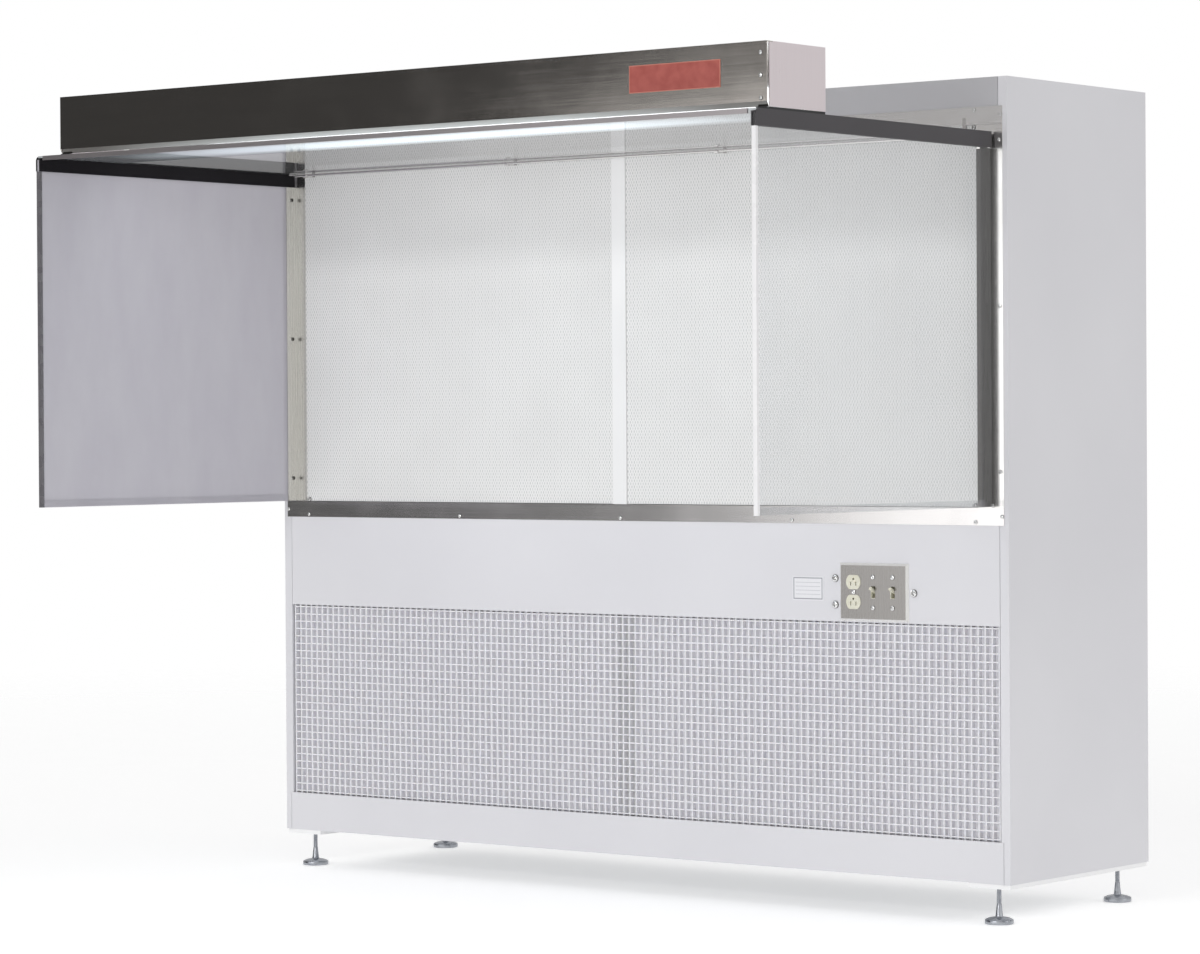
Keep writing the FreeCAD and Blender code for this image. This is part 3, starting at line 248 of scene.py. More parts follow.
def polished_metal(name, light, dark, rough):
    """Plated metal with fine scratches and a little haze."""
    s = Shader(name)
    haze = s.noise(60.0, 4.0)
    scratches = s.noise(900.0, 3.0, s.stretched((1.0, 1.0, 0.12), (0.4, 0.2, 0.6)))
    tint = s.mottled(s.between(haze, 0.35, 0.7), dark, light)
    return s.paint(
        Base_Color=tint, Metallic=1.0, Roughness=s.between(haze, 0.3, 0.75, rough - 0.05, rough + 0.12),
        Normal=s.bump(scratches, 0.03 * MM, 0.35),
    )


# ---------------------------------------------------------------- plastics, filters and glass


def plastic_skin(s):
    """The shallow relief of a moulded or extruded plastic skin."""
    return s.bump(s.noise(700.0, 2.0), 0.06 * MM, 0.4)


def moulded_plastic(name, light, dark, rough):
    """Moulded plastic: a fine skin and a faint uneven gloss."""
    s = Shader(name)
    flow = s.noise(38.0, 4.0)
    tint = s.mottled(s.between(flow, 0.32, 0.7), dark, light)
    return s.paint(
        Base_Color=tint, Roughness=s.between(flow, 0.3, 0.7, rough - 0.06, rough + 0.08),
        Normal=plastic_skin(s), Subsurface_Weight=0.06,
        Subsurface_Radius=(0.002, 0.0016, 0.001), Subsurface_Scale=0.4,
    )


def perforated_screen(name):
    """White sheet with rows of small holes, each row set over by half a pitch from the next."""
    s = Shader(name)
    pitch, rows = 6.5 * MM, 12.6 * MM
    along = s.math("DIVIDE", s.axis("X"), pitch)
    up = s.math("DIVIDE", s.axis("Z"), rows)
    lattice = s.node("ShaderNodeCombineXYZ", {
        "X": s.math("ADD", along, up), "Y": s.math("SUBTRACT", along, up),
    }).outputs[0]
    centre = s.node("ShaderNodeTexVoronoi", {"Vector": lattice, "Scale": 1.0, "Randomness": 0.0})
    hole = s.between(centre.outputs["Distance"], 0.2, 0.46, 1.0, 0.0)
    pleats = s.node("ShaderNodeTexWave", {
        "Vector": s.place, "Scale": 34.0, "Distortion": 0.6, "Detail": 1.0,
    }, wave_type="BANDS", bands_direction="X").outputs["Fac"]
    clouds = s.noise(4.0, 5.0)
    sheet = s.mottled(s.between(clouds, 0.35, 0.7), (0.765, 0.76, 0.755), (0.825, 0.82, 0.815))
    # Painted shade: the holes show a dark grey paper with darker pleat folds, partly the filter behind and
    # partly the shade inside the holes and folds.
    paper_in_hole_shade = s.mottled(pleats, (0.53, 0.54, 0.535), (0.62, 0.63, 0.625))
    return s.paint(
        Base_Color=s.blend(hole, sheet, paper_in_hole_shade), Roughness=s.between(clouds, 0.3, 0.7, 0.4, 0.55),
        Normal=s.bump(s.math("SUBTRACT", 1.0, hole), 0.6 * MM, 0.45), Specular_IOR_Level=0.35,
    )


def filter_paper(name):
    """Glass-fibre paper folded into fine upright pleats."""
    s = Shader(name)
    pleats = s.node("ShaderNodeTexWave", {
        "Vector": s.place, "Scale": 75.0, "Distortion": 0.4,
    }, wave_type="BANDS", bands_direction="X", wave_profile="TRI").outputs["Fac"]
    fibres = s.noise(650.0, 5.0)
    # Painted shade: the colour darkens in the folds of the pleats and lightens on their crests.
    tint = s.mottled(pleats, (0.55, 0.55, 0.54), (0.86, 0.86, 0.84))
    return s.paint(
        Base_Color=tint, Roughness=0.95,
        Normal=s.bump(s.math("ADD", pleats, s.math("MULTIPLY", fibres, 0.25)), 3 * MM),
    )


def prefilter_wool(name):
    """Non-woven fibre mat: a mottled grey-lilac felt with loose strands, lightened by a faint painted glow.
    """
    s = Shader(name)
    tufts = s.noise(95.0, 6.0, roughness=0.65)
    patches = s.noise(9.0, 4.0)
    strands = s.cells(240.0, s.stretched((1.0, 1.0, 0.3), (0.2, 0.5, 0.1)), "DISTANCE_TO_EDGE")
    soft = s.mottled(s.between(tufts, 0.32, 0.7), (0.92, 0.915, 0.94), (0.985, 0.98, 0.99))
    dusty = s.blend(s.between(patches, 0.4, 0.75, 0.0, 0.55), soft, colour(0.95, 0.94, 0.97))
    height = s.math("ADD", tufts, s.between(strands, 0.0, 0.12, 0.0, 0.35))
    # Painted light: a faint emission lightens the felt in the grille's shaded cells, though the mat is no
    # lamp.
    return s.paint(
        Base_Color=dusty, Roughness=0.97, Normal=s.bump(height, 1.2 * MM, 0.4),
        Sheen_Weight=0.25, Sheen_Roughness=0.6, Emission_Color=colour(0.9, 0.9, 1.0),
        Emission_Strength=0.07,
    )


def sheet_gloss(s):
    """How much a clear sheet mirrors: its two faces together, seen once from the side that faces out."""
    acrylic_index = 1.49
    one_face = s.node("ShaderNodeFresnel", {"IOR": acrylic_index}).outputs[0]
    both_faces = s.math("DIVIDE", s.math("MULTIPLY", one_face, 2.0), s.math("ADD", one_face, 1.0))
    inside = s.node("ShaderNodeNewGeometry").outputs["Backfacing"]
    return s.math("MULTIPLY", both_faces, s.math("SUBTRACT", 1.0, inside))


def clear_sheet(name, tint, veil, veil_colour, mirror=0.5, rough=0.04):
    """Acrylic sheet: clear, with light wiping marks, and a veil of haze that catches light."""
    s = Shader(name)
    wiping = s.noise(14.0, 5.0, s.stretched((1.0, 1.0, 0.35), (0.3, 0.3, 0.0)))
    dust = s.between(s.noise(160.0, 3.0), 0.62, 0.8, 0.0, 0.06)
    dulled = [0.94 * c for c in veil_colour]
    haze = s.node("ShaderNodeBsdfDiffuse", {"Color": s.mottled(wiping, dulled, veil_colour)})
    through = s.node("ShaderNodeBsdfTransparent", {
        "Color": s.mottled(wiping, tint, (0.985, 0.985, 0.985)),
    })
    gloss = s.node("ShaderNodeBsdfGlossy", {"Roughness": s.between(wiping, 0.4, 0.8, rough, 3 * rough)})
    sheen = s.node("ShaderNodeMixShader", {
        0: s.math("MULTIPLY", sheet_gloss(s), mirror), 1: through.outputs[0], 2: gloss.outputs[0],
    })
    amount = s.between(s.math("ADD", wiping, dust), 0.3, 0.8, veil * 0.94, veil)
    veiled = s.node("ShaderNodeMixShader", {0: amount, 1: sheen.outputs[0], 2: haze.outputs[0]})
    s.tree.links.new(veiled.outputs[0], s.output.inputs["Surface"])
    s.tree.nodes.remove(s.principled)
    return s.material


def lit_tube(name, glow, strength):
    """A lamp tube: even light with the faint streaks of its phosphor."""
    s = Shader(name)
    streaks = s.noise(7.0, 2.0, s.stretched((0.2, 1.0, 1.0)))
    lit = s.mottled(streaks, [0.8 * c for c in glow], glow)
    return s.paint(
        Base_Color=s.mottled(streaks, (0.82, 0.83, 0.84), (0.9, 0.91, 0.92)), Roughness=0.2,
        Emission_Color=lit, Emission_Strength=strength,
    )


def lit_diffuser(name, glow, strength):
    """Glossy ribbed opal sheet: it glows under the tubes and fades towards its rim."""
    s = Shader(name)
    low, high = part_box("lamp_tubes")
    ribs = s.node("ShaderNodeTexWave", {
        "Vector": s.place, "Scale": 130.0,
    }, wave_type="BANDS", bands_direction="Y").outputs["Fac"]
    opal = s.node("ShaderNodeBsdfDiffuse", {
        "Color": s.mottled(ribs, (0.44, 0.46, 0.48), (0.52, 0.54, 0.55)),
    })
    from_left = s.between(s.axis("X"), low.x - 50 * MM, low.x + 500 * MM, 0.0, 1.0)
    from_right = s.between(s.axis("X"), high.x - 350 * MM, high.x + 50 * MM, 1.0, 0.15)
    from_front = s.between(s.axis("Y"), low.y - 60 * MM, low.y, 0.1, 1.0)
    from_rear = s.between(s.axis("Y"), high.y - 30 * MM, high.y + 35 * MM, 1.0, 0.0)
    along, across = s.math("MULTIPLY", from_left, from_right), s.math("MULTIPLY", from_front, from_rear)
    light = s.node("ShaderNodeEmission", {
        "Color": colour(*glow), "Strength": s.math("MULTIPLY", s.math("MULTIPLY", along, across), strength),
    })
    lit = s.node("ShaderNodeAddShader", {0: opal.outputs[0], 1: light.outputs[0]})
    gloss = s.node("ShaderNodeBsdfGlossy", {"Roughness": s.between(ribs, 0.0, 1.0, 0.01, 0.05)})
    surface = s.node("ShaderNodeMixShader", {
        0: s.math("MULTIPLY", sheet_gloss(s), 0.95), 1: lit.outputs[0], 2: gloss.outputs[0],
    })
    s.tree.links.new(surface.outputs[0], s.output.inputs["Surface"])
    s.tree.nodes.remove(s.principled)
    return s.material


def edge_trim(name):
    """Glossy edge channel: white on the right shield, smoked on the left one."""
    s = Shader(name)
    flow = s.noise(38.0, 4.0)
    white = s.mottled(flow, (0.83, 0.825, 0.835), (0.88, 0.875, 0.885))
    smoked = s.mottled(flow, (0.10, 0.095, 0.105), (0.15, 0.145, 0.155))
    return s.paint(
        Base_Color=s.blend(on_right_half(s), smoked, white),
        Roughness=s.between(flow, 0.3, 0.7, 0.2, 0.34), Normal=plastic_skin(s),
    )


def enamel_sign(name):
    """Red enamelled plate, blank, with a worn edge line and a soft uneven gloss."""
    s = Shader(name)
    inset = rim_distance(s, *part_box("name_plate"))
    rim = s.between(inset, 0.8 * MM, 1.8 * MM, 1.0, 0.0)
    clouds = s.noise(46.0, 5.0)
    red = s.mottled(s.between(clouds, 0.3, 0.72), (0.36, 0.072, 0.058), (0.46, 0.11, 0.09))
    return s.paint(
        Base_Color=s.blend(rim, red, colour(0.62, 0.22, 0.16)), Metallic=0.2,
        Roughness=s.between(clouds, 0.3, 0.7, 0.3, 0.44), Normal=s.bump(clouds, 0.1 * MM, 0.5),
        Coat_Weight=0.3, Coat_Roughness=0.2,
    )


def printed_label(name):
    """White foil label with a thin grey border and blank ruled fields."""
    s = Shader(name)
    low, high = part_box("rating_label")
    middle = (low + high) / 2
    inset = rim_distance(s, low, high)
    band = s.math("SUBTRACT", 1.0, s.math("ABSOLUTE", s.between(inset, 1.4 * MM, 5.4 * MM, -1.0, 1.0)))
    border = s.between(band, 0.35, 0.6, 0.0, 0.8)
    field = 7.8 * MM
    ladder = s.math("PINGPONG", s.math("SUBTRACT", s.axis("Z"), middle.z + field / 2), field / 2)
    inside_border = s.between(inset, 7.5 * MM, 8 * MM)
    rules = s.math("MULTIPLY", s.between(ladder, 0.3 * MM, 0.9 * MM, 0.4, 0.0), inside_border)
    ink = s.math("MAXIMUM", border, rules)
    grain = s.noise(300.0, 3.0)
    foil = s.mottled(grain, (0.74, 0.74, 0.77), (0.81, 0.81, 0.83))
    return s.paint(
        Base_Color=s.blend(ink, foil, colour(0.20, 0.20, 0.24)), Roughness=0.45,
        Normal=s.bump(grain, 0.04 * MM, 0.4),
    )


def screw_steel(name):
    """Plated screw head: a bright dome, with painted shade darkening its steep rim."""
    s = Shader(name)
    facing = s.node("ShaderNodeSeparateXYZ", {
        "Vector": s.node("ShaderNodeTexCoord").outputs["Normal"],
    }).outputs["Y"]
    # Painted shade: where the head's surface turns away from the front-to-back axis, as on its steep rim,
    # the colour goes dark.
    dome = s.between(s.math("ABSOLUTE", facing), 0.45, 0.85)
    haze = s.noise(400.0, 3.0)
    bright = s.mottled(haze, (0.84, 0.84, 0.84), (0.93, 0.93, 0.92))
    return s.paint(
        Base_Color=s.blend(dome, colour(0.10, 0.095, 0.09), bright), Metallic=1.0,
        Roughness=s.between(haze, 0.3, 0.7, 0.08, 0.16), Normal=s.bump(haze, 0.01 * MM, 0.4),
    )


def rubber(name):
    """Black nylon with a matt, slightly mottled skin."""
    s = Shader(name)
    skin = s.noise(520.0, 3.0)
    tint = s.mottled(skin, (0.012, 0.012, 0.013), (0.035, 0.035, 0.036))
    return s.paint(
        Base_Color=tint, Roughness=s.between(skin, 0.3, 0.7, 0.45, 0.62), Normal=s.bump(skin, 0.1 * MM, 0.6),
    )


def steels():
    """Brushed steels and aluminiums, each (name, light, dark, grain, roughness)."""
    kinds = (
        ("stainless", (0.76, 0.74, 0.735), (0.68, 0.665, 0.66), BRUSHED_ALONG_X, 0.18),
        # Painted shade: a darker copy of the stainless for the canopy fascia, standing in for the dim
        # reflection it shows.
        ("stainless_painted_dark_reflection", (0.60, 0.565, 0.53), (0.53, 0.495, 0.46), BRUSHED_ALONG_X, 0.1),
        ("stainless_pale", (0.88, 0.80, 0.82), (0.80, 0.72, 0.74), BRUSHED_UPRIGHT, 0.3),
        # Painted highlight: brighter copies of the stainless for the jamb strips and the header strip,
        # standing in for the bright reflections they show; the jambs' grain runs upright.
        ("stainless_upright_painted_highlight", (0.94, 0.93, 0.91), (0.87, 0.86, 0.84), BRUSHED_UPRIGHT, 0.2),
        ("stainless_painted_highlight", (0.93, 0.92, 0.91), (0.86, 0.85, 0.84), BRUSHED_ALONG_X, 0.2),
        ("front_bar_aluminium", (0.47, 0.435, 0.445), (0.41, 0.38, 0.39), BRUSHED_ALONG_X, 0.34),
        ("filter_aluminium", (0.80, 0.80, 0.80), (0.64, 0.64, 0.65), BRUSHED_ALONG_X, 0.3),
    )
    return {kind[0]: brushed_metal(*kind) for kind in kinds}


def paints():
    """Baked paints, each (name, light, dark), with gloss and shine where they differ."""
    kinds = (
        ("cabinet_paint", (0.72, 0.715, 0.743), (0.69, 0.685, 0.715)),
        ("skid_paint", (0.92, 0.92, 0.92), (0.88, 0.88, 0.885), 0.4),
        # Painted shade: a darker copy of the cabinet paint for the top cover, standing in for the shade on
        # the strip above the canopy.
        ("fascia_painted_shade", (0.49, 0.485, 0.505), (0.46, 0.455, 0.475)),
        ("divider_white", (0.86, 0.86, 0.86), (0.80, 0.80, 0.80), 0.35),
        ("motor_paint", (0.030, 0.034, 0.042), (0.02, 0.022, 0.028), 0.5),
        ("rail_charcoal", (0.046, 0.041, 0.047), (0.034, 0.030, 0.035), 0.36),
        ("rail_shaded", (0.016, 0.015, 0.017), (0.011, 0.010, 0.012), 0.5, 0.05),
        # Painted shade: the spacers are near black, darker than the charcoal rail, so that they also stand
        # in for the shadowed gap between canopy and rail.
        ("spacer_black_painted_shade", (0.014, 0.014, 0.015), (0.008, 0.008, 0.009), 0.5),
    )
    return {kind[0]: powder_coat(*kind) for kind in kinds}


def plastics():
    """Moulded plastics, each (name, light, dark, roughness)."""
    kinds = (
        ("grille_white", (0.86, 0.855, 0.885), (0.82, 0.815, 0.845), 0.4),
        ("holder_white", (0.82, 0.82, 0.82), (0.74, 0.74, 0.74), 0.3),
        ("ivory_plastic", (0.74, 0.72, 0.61), (0.67, 0.65, 0.53), 0.25),
    )
    return {kind[0]: moulded_plastic(*kind) for kind in kinds}


def clear_sheets():
    """Acrylic, each (name, tint, veil, veil's colour), with mirror and roughness where they differ."""
    kinds = (
        ("clear_acrylic", (0.96, 0.965, 0.97), 0.04, (0.8, 0.8, 0.82)),
        ("roof_acrylic", (0.96, 0.965, 0.97), 0.03, (0.8, 0.8, 0.82), 1.0, 0.003),
        ("veiled_acrylic", (0.84, 0.82, 0.88), 0.72, (0.57, 0.555, 0.60)),
    )
    return {kind[0]: clear_sheet(*kind) for kind in kinds}


def make_materials():
    """One material for each of the record's slots, and more for the nodes that have their own."""
    materials = {
        "bracket_steel": bracket_steel("bracket_steel"),
        "plate_steel": bevelled_plate("plate_steel"),
        "galvanised": galvanised("galvanised"),
        "wheel_steel": galvanised("wheel_steel"),
        "zinc": polished_metal("zinc", (0.47, 0.485, 0.515), (0.31, 0.325, 0.36), 0.26),
        "chrome": screw_steel("chrome"),
        "filter_paper": filter_paper("filter_paper"),
        "screen_mesh": perforated_screen("screen_mesh"),
        "prefilter_fabric": prefilter_wool("prefilter_fabric"),
        "trim_white": edge_trim("trim_white"),
        "diffuser_white": lit_diffuser("diffuser_white", (0.80, 0.92, 1.0), 2.6),
        "lamp_glass": lit_tube("lamp_glass", (0.92, 0.97, 1.0), 2.5),
        "sign_red": enamel_sign("sign_red"),
        "label_white": printed_label("label_white"),
        "gland_black": rubber("gland_black"),
    }
    for group in (steels(), paints(), plastics(), clear_sheets()):
        materials.update(group)
    return materials


# CAD nodes whose finish differs from that of their slot: another direction, haze, painted shade or a painted
# highlight.
OWN_FINISH = {
    "jamb_strips": "stainless_upright_painted_highlight",
    "header_strip": "stainless_painted_highlight",
    "rail_left": "rail_shaded",
    "rear_brackets": "bracket_steel",
    "wall_plate": "plate_steel",
    "top_cover": "fascia_painted_shade",
    "canopy_spacers": "spacer_black_painted_shade",
    "skids": "skid_paint",
    "grille_tracks": "divider_white",
    "canopy_fascia": "stainless_painted_dark_reflection",
    "canopy_ends": "stainless_pale",
    "shield_left": "veiled_acrylic",
    "roof_sheet": "roof_acrylic",
}


def dress_nodes(materials):
    """Gives each CAD node the material of its slot, or its own."""
    for part in frame["record"]["subparts"]:
        name = part["node"]
        mesh = frame["nodes"][name].data
        mesh.materials.clear()
        mesh.materials.append(materials[OWN_FINISH.get(name, part["material_slot"])])


# ---------------------------------------------------------------- mesh helpers


def new_piece(name, shape, materials, slot, body, node):
    """A mesh object that rides on a body and stands for a CAD node."""
    mesh = bpy.data.meshes.new(name)
    shape.to_mesh(mesh)
    shape.free()
    mesh.materials.append(materials[slot])
    piece = bpy.data.objects.new(name, mesh)
    bpy.context.collection.objects.link(piece)
    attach(piece, body)
    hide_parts(node)
    return piece


def add_prism(shape, outline, start, end, place):
    """A bar with the given outline: place(u, v, w) turns outline and length into a point."""
    rings = []
    for w in (start, end):
        rings.append([shape.verts.new(place(u, v, w)) for u, v in outline])
    first, last = rings
    count = len(outline)
    for i in range(count):
        j = (i + 1) % count
        shape.faces.new((first[i], first[j], last[j], last[i]))
    shape.faces.new(list(reversed(first)))
    shape.faces.new(last)


def turned(shape, profile, segments, centre):
    """A solid of revolution about a vertical line, from (radius, height) points."""
    angles = [math.tau * i / segments for i in range(segments)]
    rings = []
    for radius, height in profile:
        rings.append([
            shape.verts.new(centre + Vector((radius * math.cos(angle), radius * math.sin(angle), height)))
            for angle in angles
        ])
    for low, high in zip(rings, rings[1:]):
        for i in range(segments):
            j = (i + 1) % segments
            shape.faces.new((low[i], low[j], high[j], high[i]))
    shape.faces.new(list(reversed(rings[0])))
    shape.faces.new(rings[-1])


def smooth_by_angle(piece, degrees):
    """Shades gentle curves smooth and keeps corners sharp."""
    for face in piece.data.polygons:
        face.use_smooth = True
    limit = math.radians(degrees)
    shape = bmesh.new()
    shape.from_mesh(piece.data)
    for edge in shape.edges:
        edge.smooth = len(edge.link_faces) == 2 and edge.calc_face_angle() < limit
    shape.to_mesh(piece.data)
    shape.free()


# ---------------------------------------------------------------- pieces


def grille_lattice(materials):
    """The intake grille at its real pitch: tapered blades, thicker at the front."""
    low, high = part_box("eggcrate_grille")
    pitch = 16.1 * MM
    # Half the thickness of a blade at its front and rear, and the bevel of its front corners.
    front, rear = 1.35 * MM, 0.7 * MM
    soft = 0.5 * MM
    shape = bmesh.new()
    outline = [
        (-rear, high.y), (-front, low.y + soft), (-front + soft, low.y),
        (front - soft, low.y), (front, low.y + soft), (rear, high.y),
    ]
    columns = round((high.x - low.x) / pitch)
    rows = round((high.z - low.z) / pitch)
    for i in range(columns + 1):
        x = low.x + front + (high.x - low.x - 2 * front) * i / columns
        add_prism(shape, outline, low.z, high.z, lambda u, v, w: Vector((x + u, v, w)))
    for i in range(rows + 1):
        z = low.z + front + (high.z - low.z - 2 * front) * i / rows
        add_prism(shape, outline, low.x, high.x, lambda u, v, w: Vector((w, v, z + u)))
    bmesh.ops.recalc_face_normals(shape, faces=shape.faces)
    new_piece("grille_lattice", shape, materials, "grille_white", CABINET, "eggcrate_grille")


def threaded_foot(node, materials):
    """A levelling foot: a domed pad, a waisted neck and a stud with its thread."""
    low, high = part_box(node)
    centre = Vector(((low.x + high.x) / 2, (low.y + high.y) / 2, low.z))
    top = high.z - low.z
    pad = (high.x - low.x) / 2
    chamfer = 2 * MM
    edge_top, dome_top = 7 * MM, 14.2 * MM
    collar, waist = 8.2 * MM, 6.2 * MM
    waist_top, neck_top = 26 * MM, 39 * MM
    root, crest, pitch = 4.15 * MM, 4.7 * MM, 1.5 * MM
    profile = [
        (pad - chamfer, 0), (pad - 0.2 * chamfer, 0.3 * chamfer), (pad, chamfer), (pad, edge_top),
        (pad - 0.4 * chamfer, edge_top + chamfer), (pad * 0.72, dome_top - 1.1 * chamfer),
        (pad * 0.42, dome_top - 0.3 * chamfer), (collar, dome_top),
        (collar - 0.5 * chamfer, dome_top + 0.9 * chamfer), (waist, waist_top), (crest, neck_top),
    ]
    z = neck_top
    while z + pitch < top:
        profile += [(root, z + pitch * 0.45), (crest, z + pitch * 0.9), (crest, z + pitch)]
        z += pitch
    profile.append((root, top))
    shape = bmesh.new()
    turned(shape, profile, segments=32, centre=centre)
    piece = new_piece(node + "_turned", shape, materials, "zinc", node + "_body", node)
    smooth_by_angle(piece, degrees=50)


def loose_parts(node):
    """The lowest and highest corner of each separate solid in a CAD node."""
    shape = bmesh.new()
    shape.from_mesh(frame["nodes"][node].data)
    bmesh.ops.remove_doubles(shape, verts=shape.verts, dist=0.01 * MM)
    left = set(shape.verts)
    boxes = []
    while left:
        group, edge_of_group = set(), [left.pop()]
        while edge_of_group:
            vertex = edge_of_group.pop()
            group.add(vertex)
            for edge in vertex.link_edges:
                other = edge.other_vert(vertex)
                if other in left:
                    left.remove(other)
                    edge_of_group.append(other)
        corners = [v.co for v in group]
        boxes.append((
            Vector([min(c[i] for c in corners) for i in range(3)]),
            Vector([max(c[i] for c in corners) for i in range(3)]),
        ))
    shape.free()
    return sorted(boxes, key=lambda box: tuple(round(value, 4) for value in box[0]))


def add_screw_head(shape, low, high, outward, turn):
    """A domed head with a cross cut into it, in the box of the CAD's plain head."""
    size = high - low
    across = [i for i in range(3) if i != outward[0]]
    radius = min(size[across[0]], size[across[1]]) / 2
    height = size[outward[0]]
    middle = (low + high) / 2
    segments, rings = 24, 5
    wall = 0.3 * height
    sweep = 0.92 * math.pi / 2
    cross_arm, cross_reach, cross_depth = 0.13 * radius, 0.56 * radius, 0.45 * height
    outline = [(radius, 0.0)]
    for ring in range(rings + 1):
        angle = sweep * ring / rings
        outline.append((radius * math.cos(angle), wall + (height - wall) * math.sin(angle)))
    rows = []
    for around, rise in outline:
        row = []
        for i in range(segments):
            angle = math.tau * i / segments
            u, v = around * math.cos(angle), around * math.sin(angle)
            in_cross = math.hypot(u, v) < cross_reach and min(abs(u), abs(v)) < cross_arm
            row.append((u, v, rise - (cross_depth if in_cross else 0.0)))
        rows.append(row)

    def spot(u, v, w):
        """Turns head coordinates into the frame."""
        turned_u = u * math.cos(turn) - v * math.sin(turn)
        turned_v = u * math.sin(turn) + v * math.cos(turn)
        place = Vector((0, 0, 0))
        place[across[0]] = middle[across[0]] + turned_u
        place[across[1]] = middle[across[1]] + turned_v
        base = low[outward[0]] if outward[1] > 0 else high[outward[0]]
        place[outward[0]] = base + outward[1] * w
        return place

    rings_made = [[shape.verts.new(spot(*point)) for point in row] for row in rows]
    for inner, outer in zip(rings_made[1:], rings_made):
        for i in range(segments):
            j = (i + 1) % segments
            shape.faces.new((outer[i], outer[j], inner[j], inner[i]))
    tip = shape.verts.new(spot(0, 0, height - cross_depth))
    last = rings_made[-1]
    for i in range(segments):
        shape.faces.new((last[i], last[(i + 1) % segments], tip))
    shape.faces.new(list(reversed(rings_made[0])))


def screw_heads(node, materials):
    """Cross-head screws in place of a CAD node's plain heads, each turned further than the last."""
    turn_step = 0.7
    shape = bmesh.new()
    for count, (low, high) in enumerate(loose_parts(node)):
        size = high - low
        thin = min(range(3), key=lambda i: size[i])
        middle = (low + high) / 2
        sign = 1 if thin == 0 and middle.x > 0 else -1
        add_screw_head(shape, low, high, (thin, sign), turn_step * count)
    bmesh.ops.recalc_face_normals(shape, faces=shape.faces)
    piece = new_piece(node + "_crossed", shape, materials, "chrome", CABINET, node)
    smooth_by_angle(piece, degrees=40)


# ---------------------------------------------------------------- studio


def pale_floor():
    """A wide pale floor that fades out, so that it meets the white studio without a line."""
    s = Shader("studio_floor")
    grain = s.noise(6.0, 4.0)
    distance = s.node("ShaderNodeVectorMath", {0: s.place}, operation="LENGTH").outputs["Value"]
    fade_start, fade_end, radius = 2.2, 8.0, 9.2
    fade = s.between(distance, fade_start, fade_end)
    s.paint(
        Base_Color=s.mottled(grain, (0.93, 0.93, 0.93), (0.95, 0.95, 0.95)), Roughness=0.9,
        Emission_Color=colour(1, 1, 1), Emission_Strength=0.34, Alpha=s.math("SUBTRACT", 1.0, fade),
    )
    shape = bmesh.new()
    bmesh.ops.create_circle(shape, cap_ends=True, segments=96, radius=radius)
    mesh = bpy.data.meshes.new("studio_floor")
    shape.to_mesh(mesh)
    shape.free()
    mesh.materials.append(s.material)
    floor = bpy.data.objects.new("studio_floor", mesh)
    bpy.context.collection.objects.link(floor)


def studio_world():
    """Soft white surroundings, dim to the front left, where the room is dark."""
    world = bpy.data.worlds.new("studio")
    bpy.context.scene.world = world
    world.use_nodes = True
    tree = world.node_tree
    background = tree.nodes["Background"]
    direction = tree.nodes.new("ShaderNodeTexCoord")
    towards = tree.nodes.new("ShaderNodeVectorMath")
    towards.operation = "DOT_PRODUCT"
    dark_azimuth = math.radians(-66)
    towards.inputs[1].default_value = (math.sin(dark_azimuth), -math.cos(dark_azimuth), 0.1)
    tree.links.new(direction.outputs["Generated"], towards.inputs[0])
    shade = tree.nodes.new("ShaderNodeMapRange")
    shade.interpolation_type = "SMOOTHSTEP"
    bright, dim = 0.66, 0.06
    dusk, dark = 0.80, 0.90
    for key, value in (("From Min", dusk), ("From Max", dark), ("To Min", bright), ("To Max", dim)):
        shade.inputs[key].default_value = value
    tree.links.new(towards.outputs["Value"], shade.inputs["Value"])
    seen = tree.nodes.new("ShaderNodeLightPath")
    pick = tree.nodes.new("ShaderNodeMix")
    pick.inputs[3].default_value = 1.0
    tree.links.new(seen.outputs["Is Camera Ray"], pick.inputs[0])
    tree.links.new(shade.outputs["Result"], pick.inputs[2])
    background.inputs["Color"].default_value = (1, 1, 1, 1)
    tree.links.new(pick.outputs[0], background.inputs["Strength"])


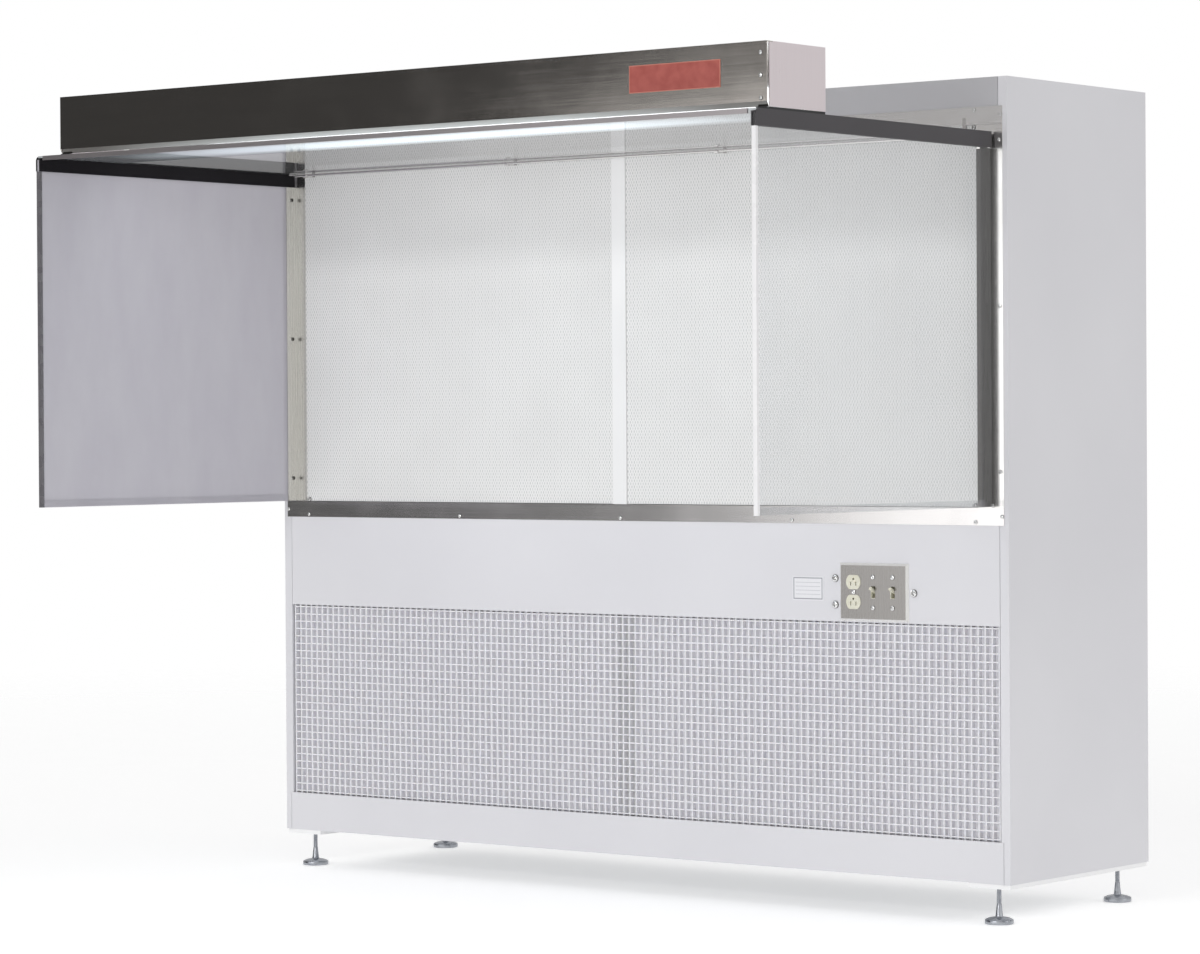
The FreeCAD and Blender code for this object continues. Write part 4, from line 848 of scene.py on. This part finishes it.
def softbox(name, place, target, width, height, power, tint=(1, 1, 1), seen=True):
    """A soft rectangular light aimed at a point, and out of sight where it isn't to be seen."""
    data = bpy.data.lights.new(name, "AREA")
    data.shape = "RECTANGLE"
    data.size, data.size_y = width, height
    data.energy = power
    data.color = tint
    light = bpy.data.objects.new(name, data)
    light.location = place
    light.rotation_mode = "QUATERNION"
    light.rotation_quaternion = (Vector(target) - Vector(place)).to_track_quat("-Z", "Y")
    light.visible_camera = seen
    light.visible_glossy = seen
    bpy.context.collection.objects.link(light)


def studio_lights():
    """A key from the front, a wide card beside it, a fill from the right, and the lamps' own light."""
    softbox("key", (0.5, -6.3, 2.9), (0, 0.1, 1.1), width=1.6, height=0.5, power=60)
    softbox("front_card", (-1.15, -6.6, 1.15), (-1.15, 0, 1.15), width=6.2, height=1.9, power=50)
    softbox("right_fill", (6.5, 1.0, 2.2), (0.9, 0.3, 0.9), width=3.5, height=3.0, power=25)
    low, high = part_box("lamp_diffuser")
    under = Vector((0, (low.y + high.y) / 2, low.z - 5 * MM))
    softbox(
        "lamp_light", under, (0, 0.13, 1.3), width=1.5, height=0.12, power=1.7,
        tint=(0.95, 0.96, 1.0), seen=False,
    )


def photo_camera():
    """The camera where the photographer stood, to the right and a little under mid height."""
    data = bpy.data.cameras.new("camera")
    data.sensor_width = 36.0
    data.lens = 118.18
    data.clip_end = 200.0
    camera = bpy.data.objects.new("camera", data)
    place = (4.9906, -6.2499, 0.9624)
    heading, pitch, roll = 0.66927, -0.01286, 0.00594
    aim = Matrix.Rotation(heading, 4, "Z") @ Matrix.Rotation(pitch, 4, "X") @ Matrix.Rotation(roll, 4, "Y")
    upright = Matrix.Rotation(math.pi / 2, 4, "X")
    camera.matrix_world = Matrix.Translation(place) @ aim @ upright
    bpy.context.collection.objects.link(camera)
    bpy.context.scene.camera = camera
    bpy.context.scene.view_settings.view_transform = "Standard"


def build():
    """Everything, in order."""
    photo_camera()
    materials = make_materials()
    dress_nodes(materials)
    grille_lattice(materials)
    for corner in ("front_left", "front_right", "rear_left", "rear_right"):
        threaded_foot("foot_" + corner, materials)
    screw_heads("panel_screws", materials)
    screw_heads("box_screws", materials)
    pale_floor()
    studio_world()
    studio_lights()


build()
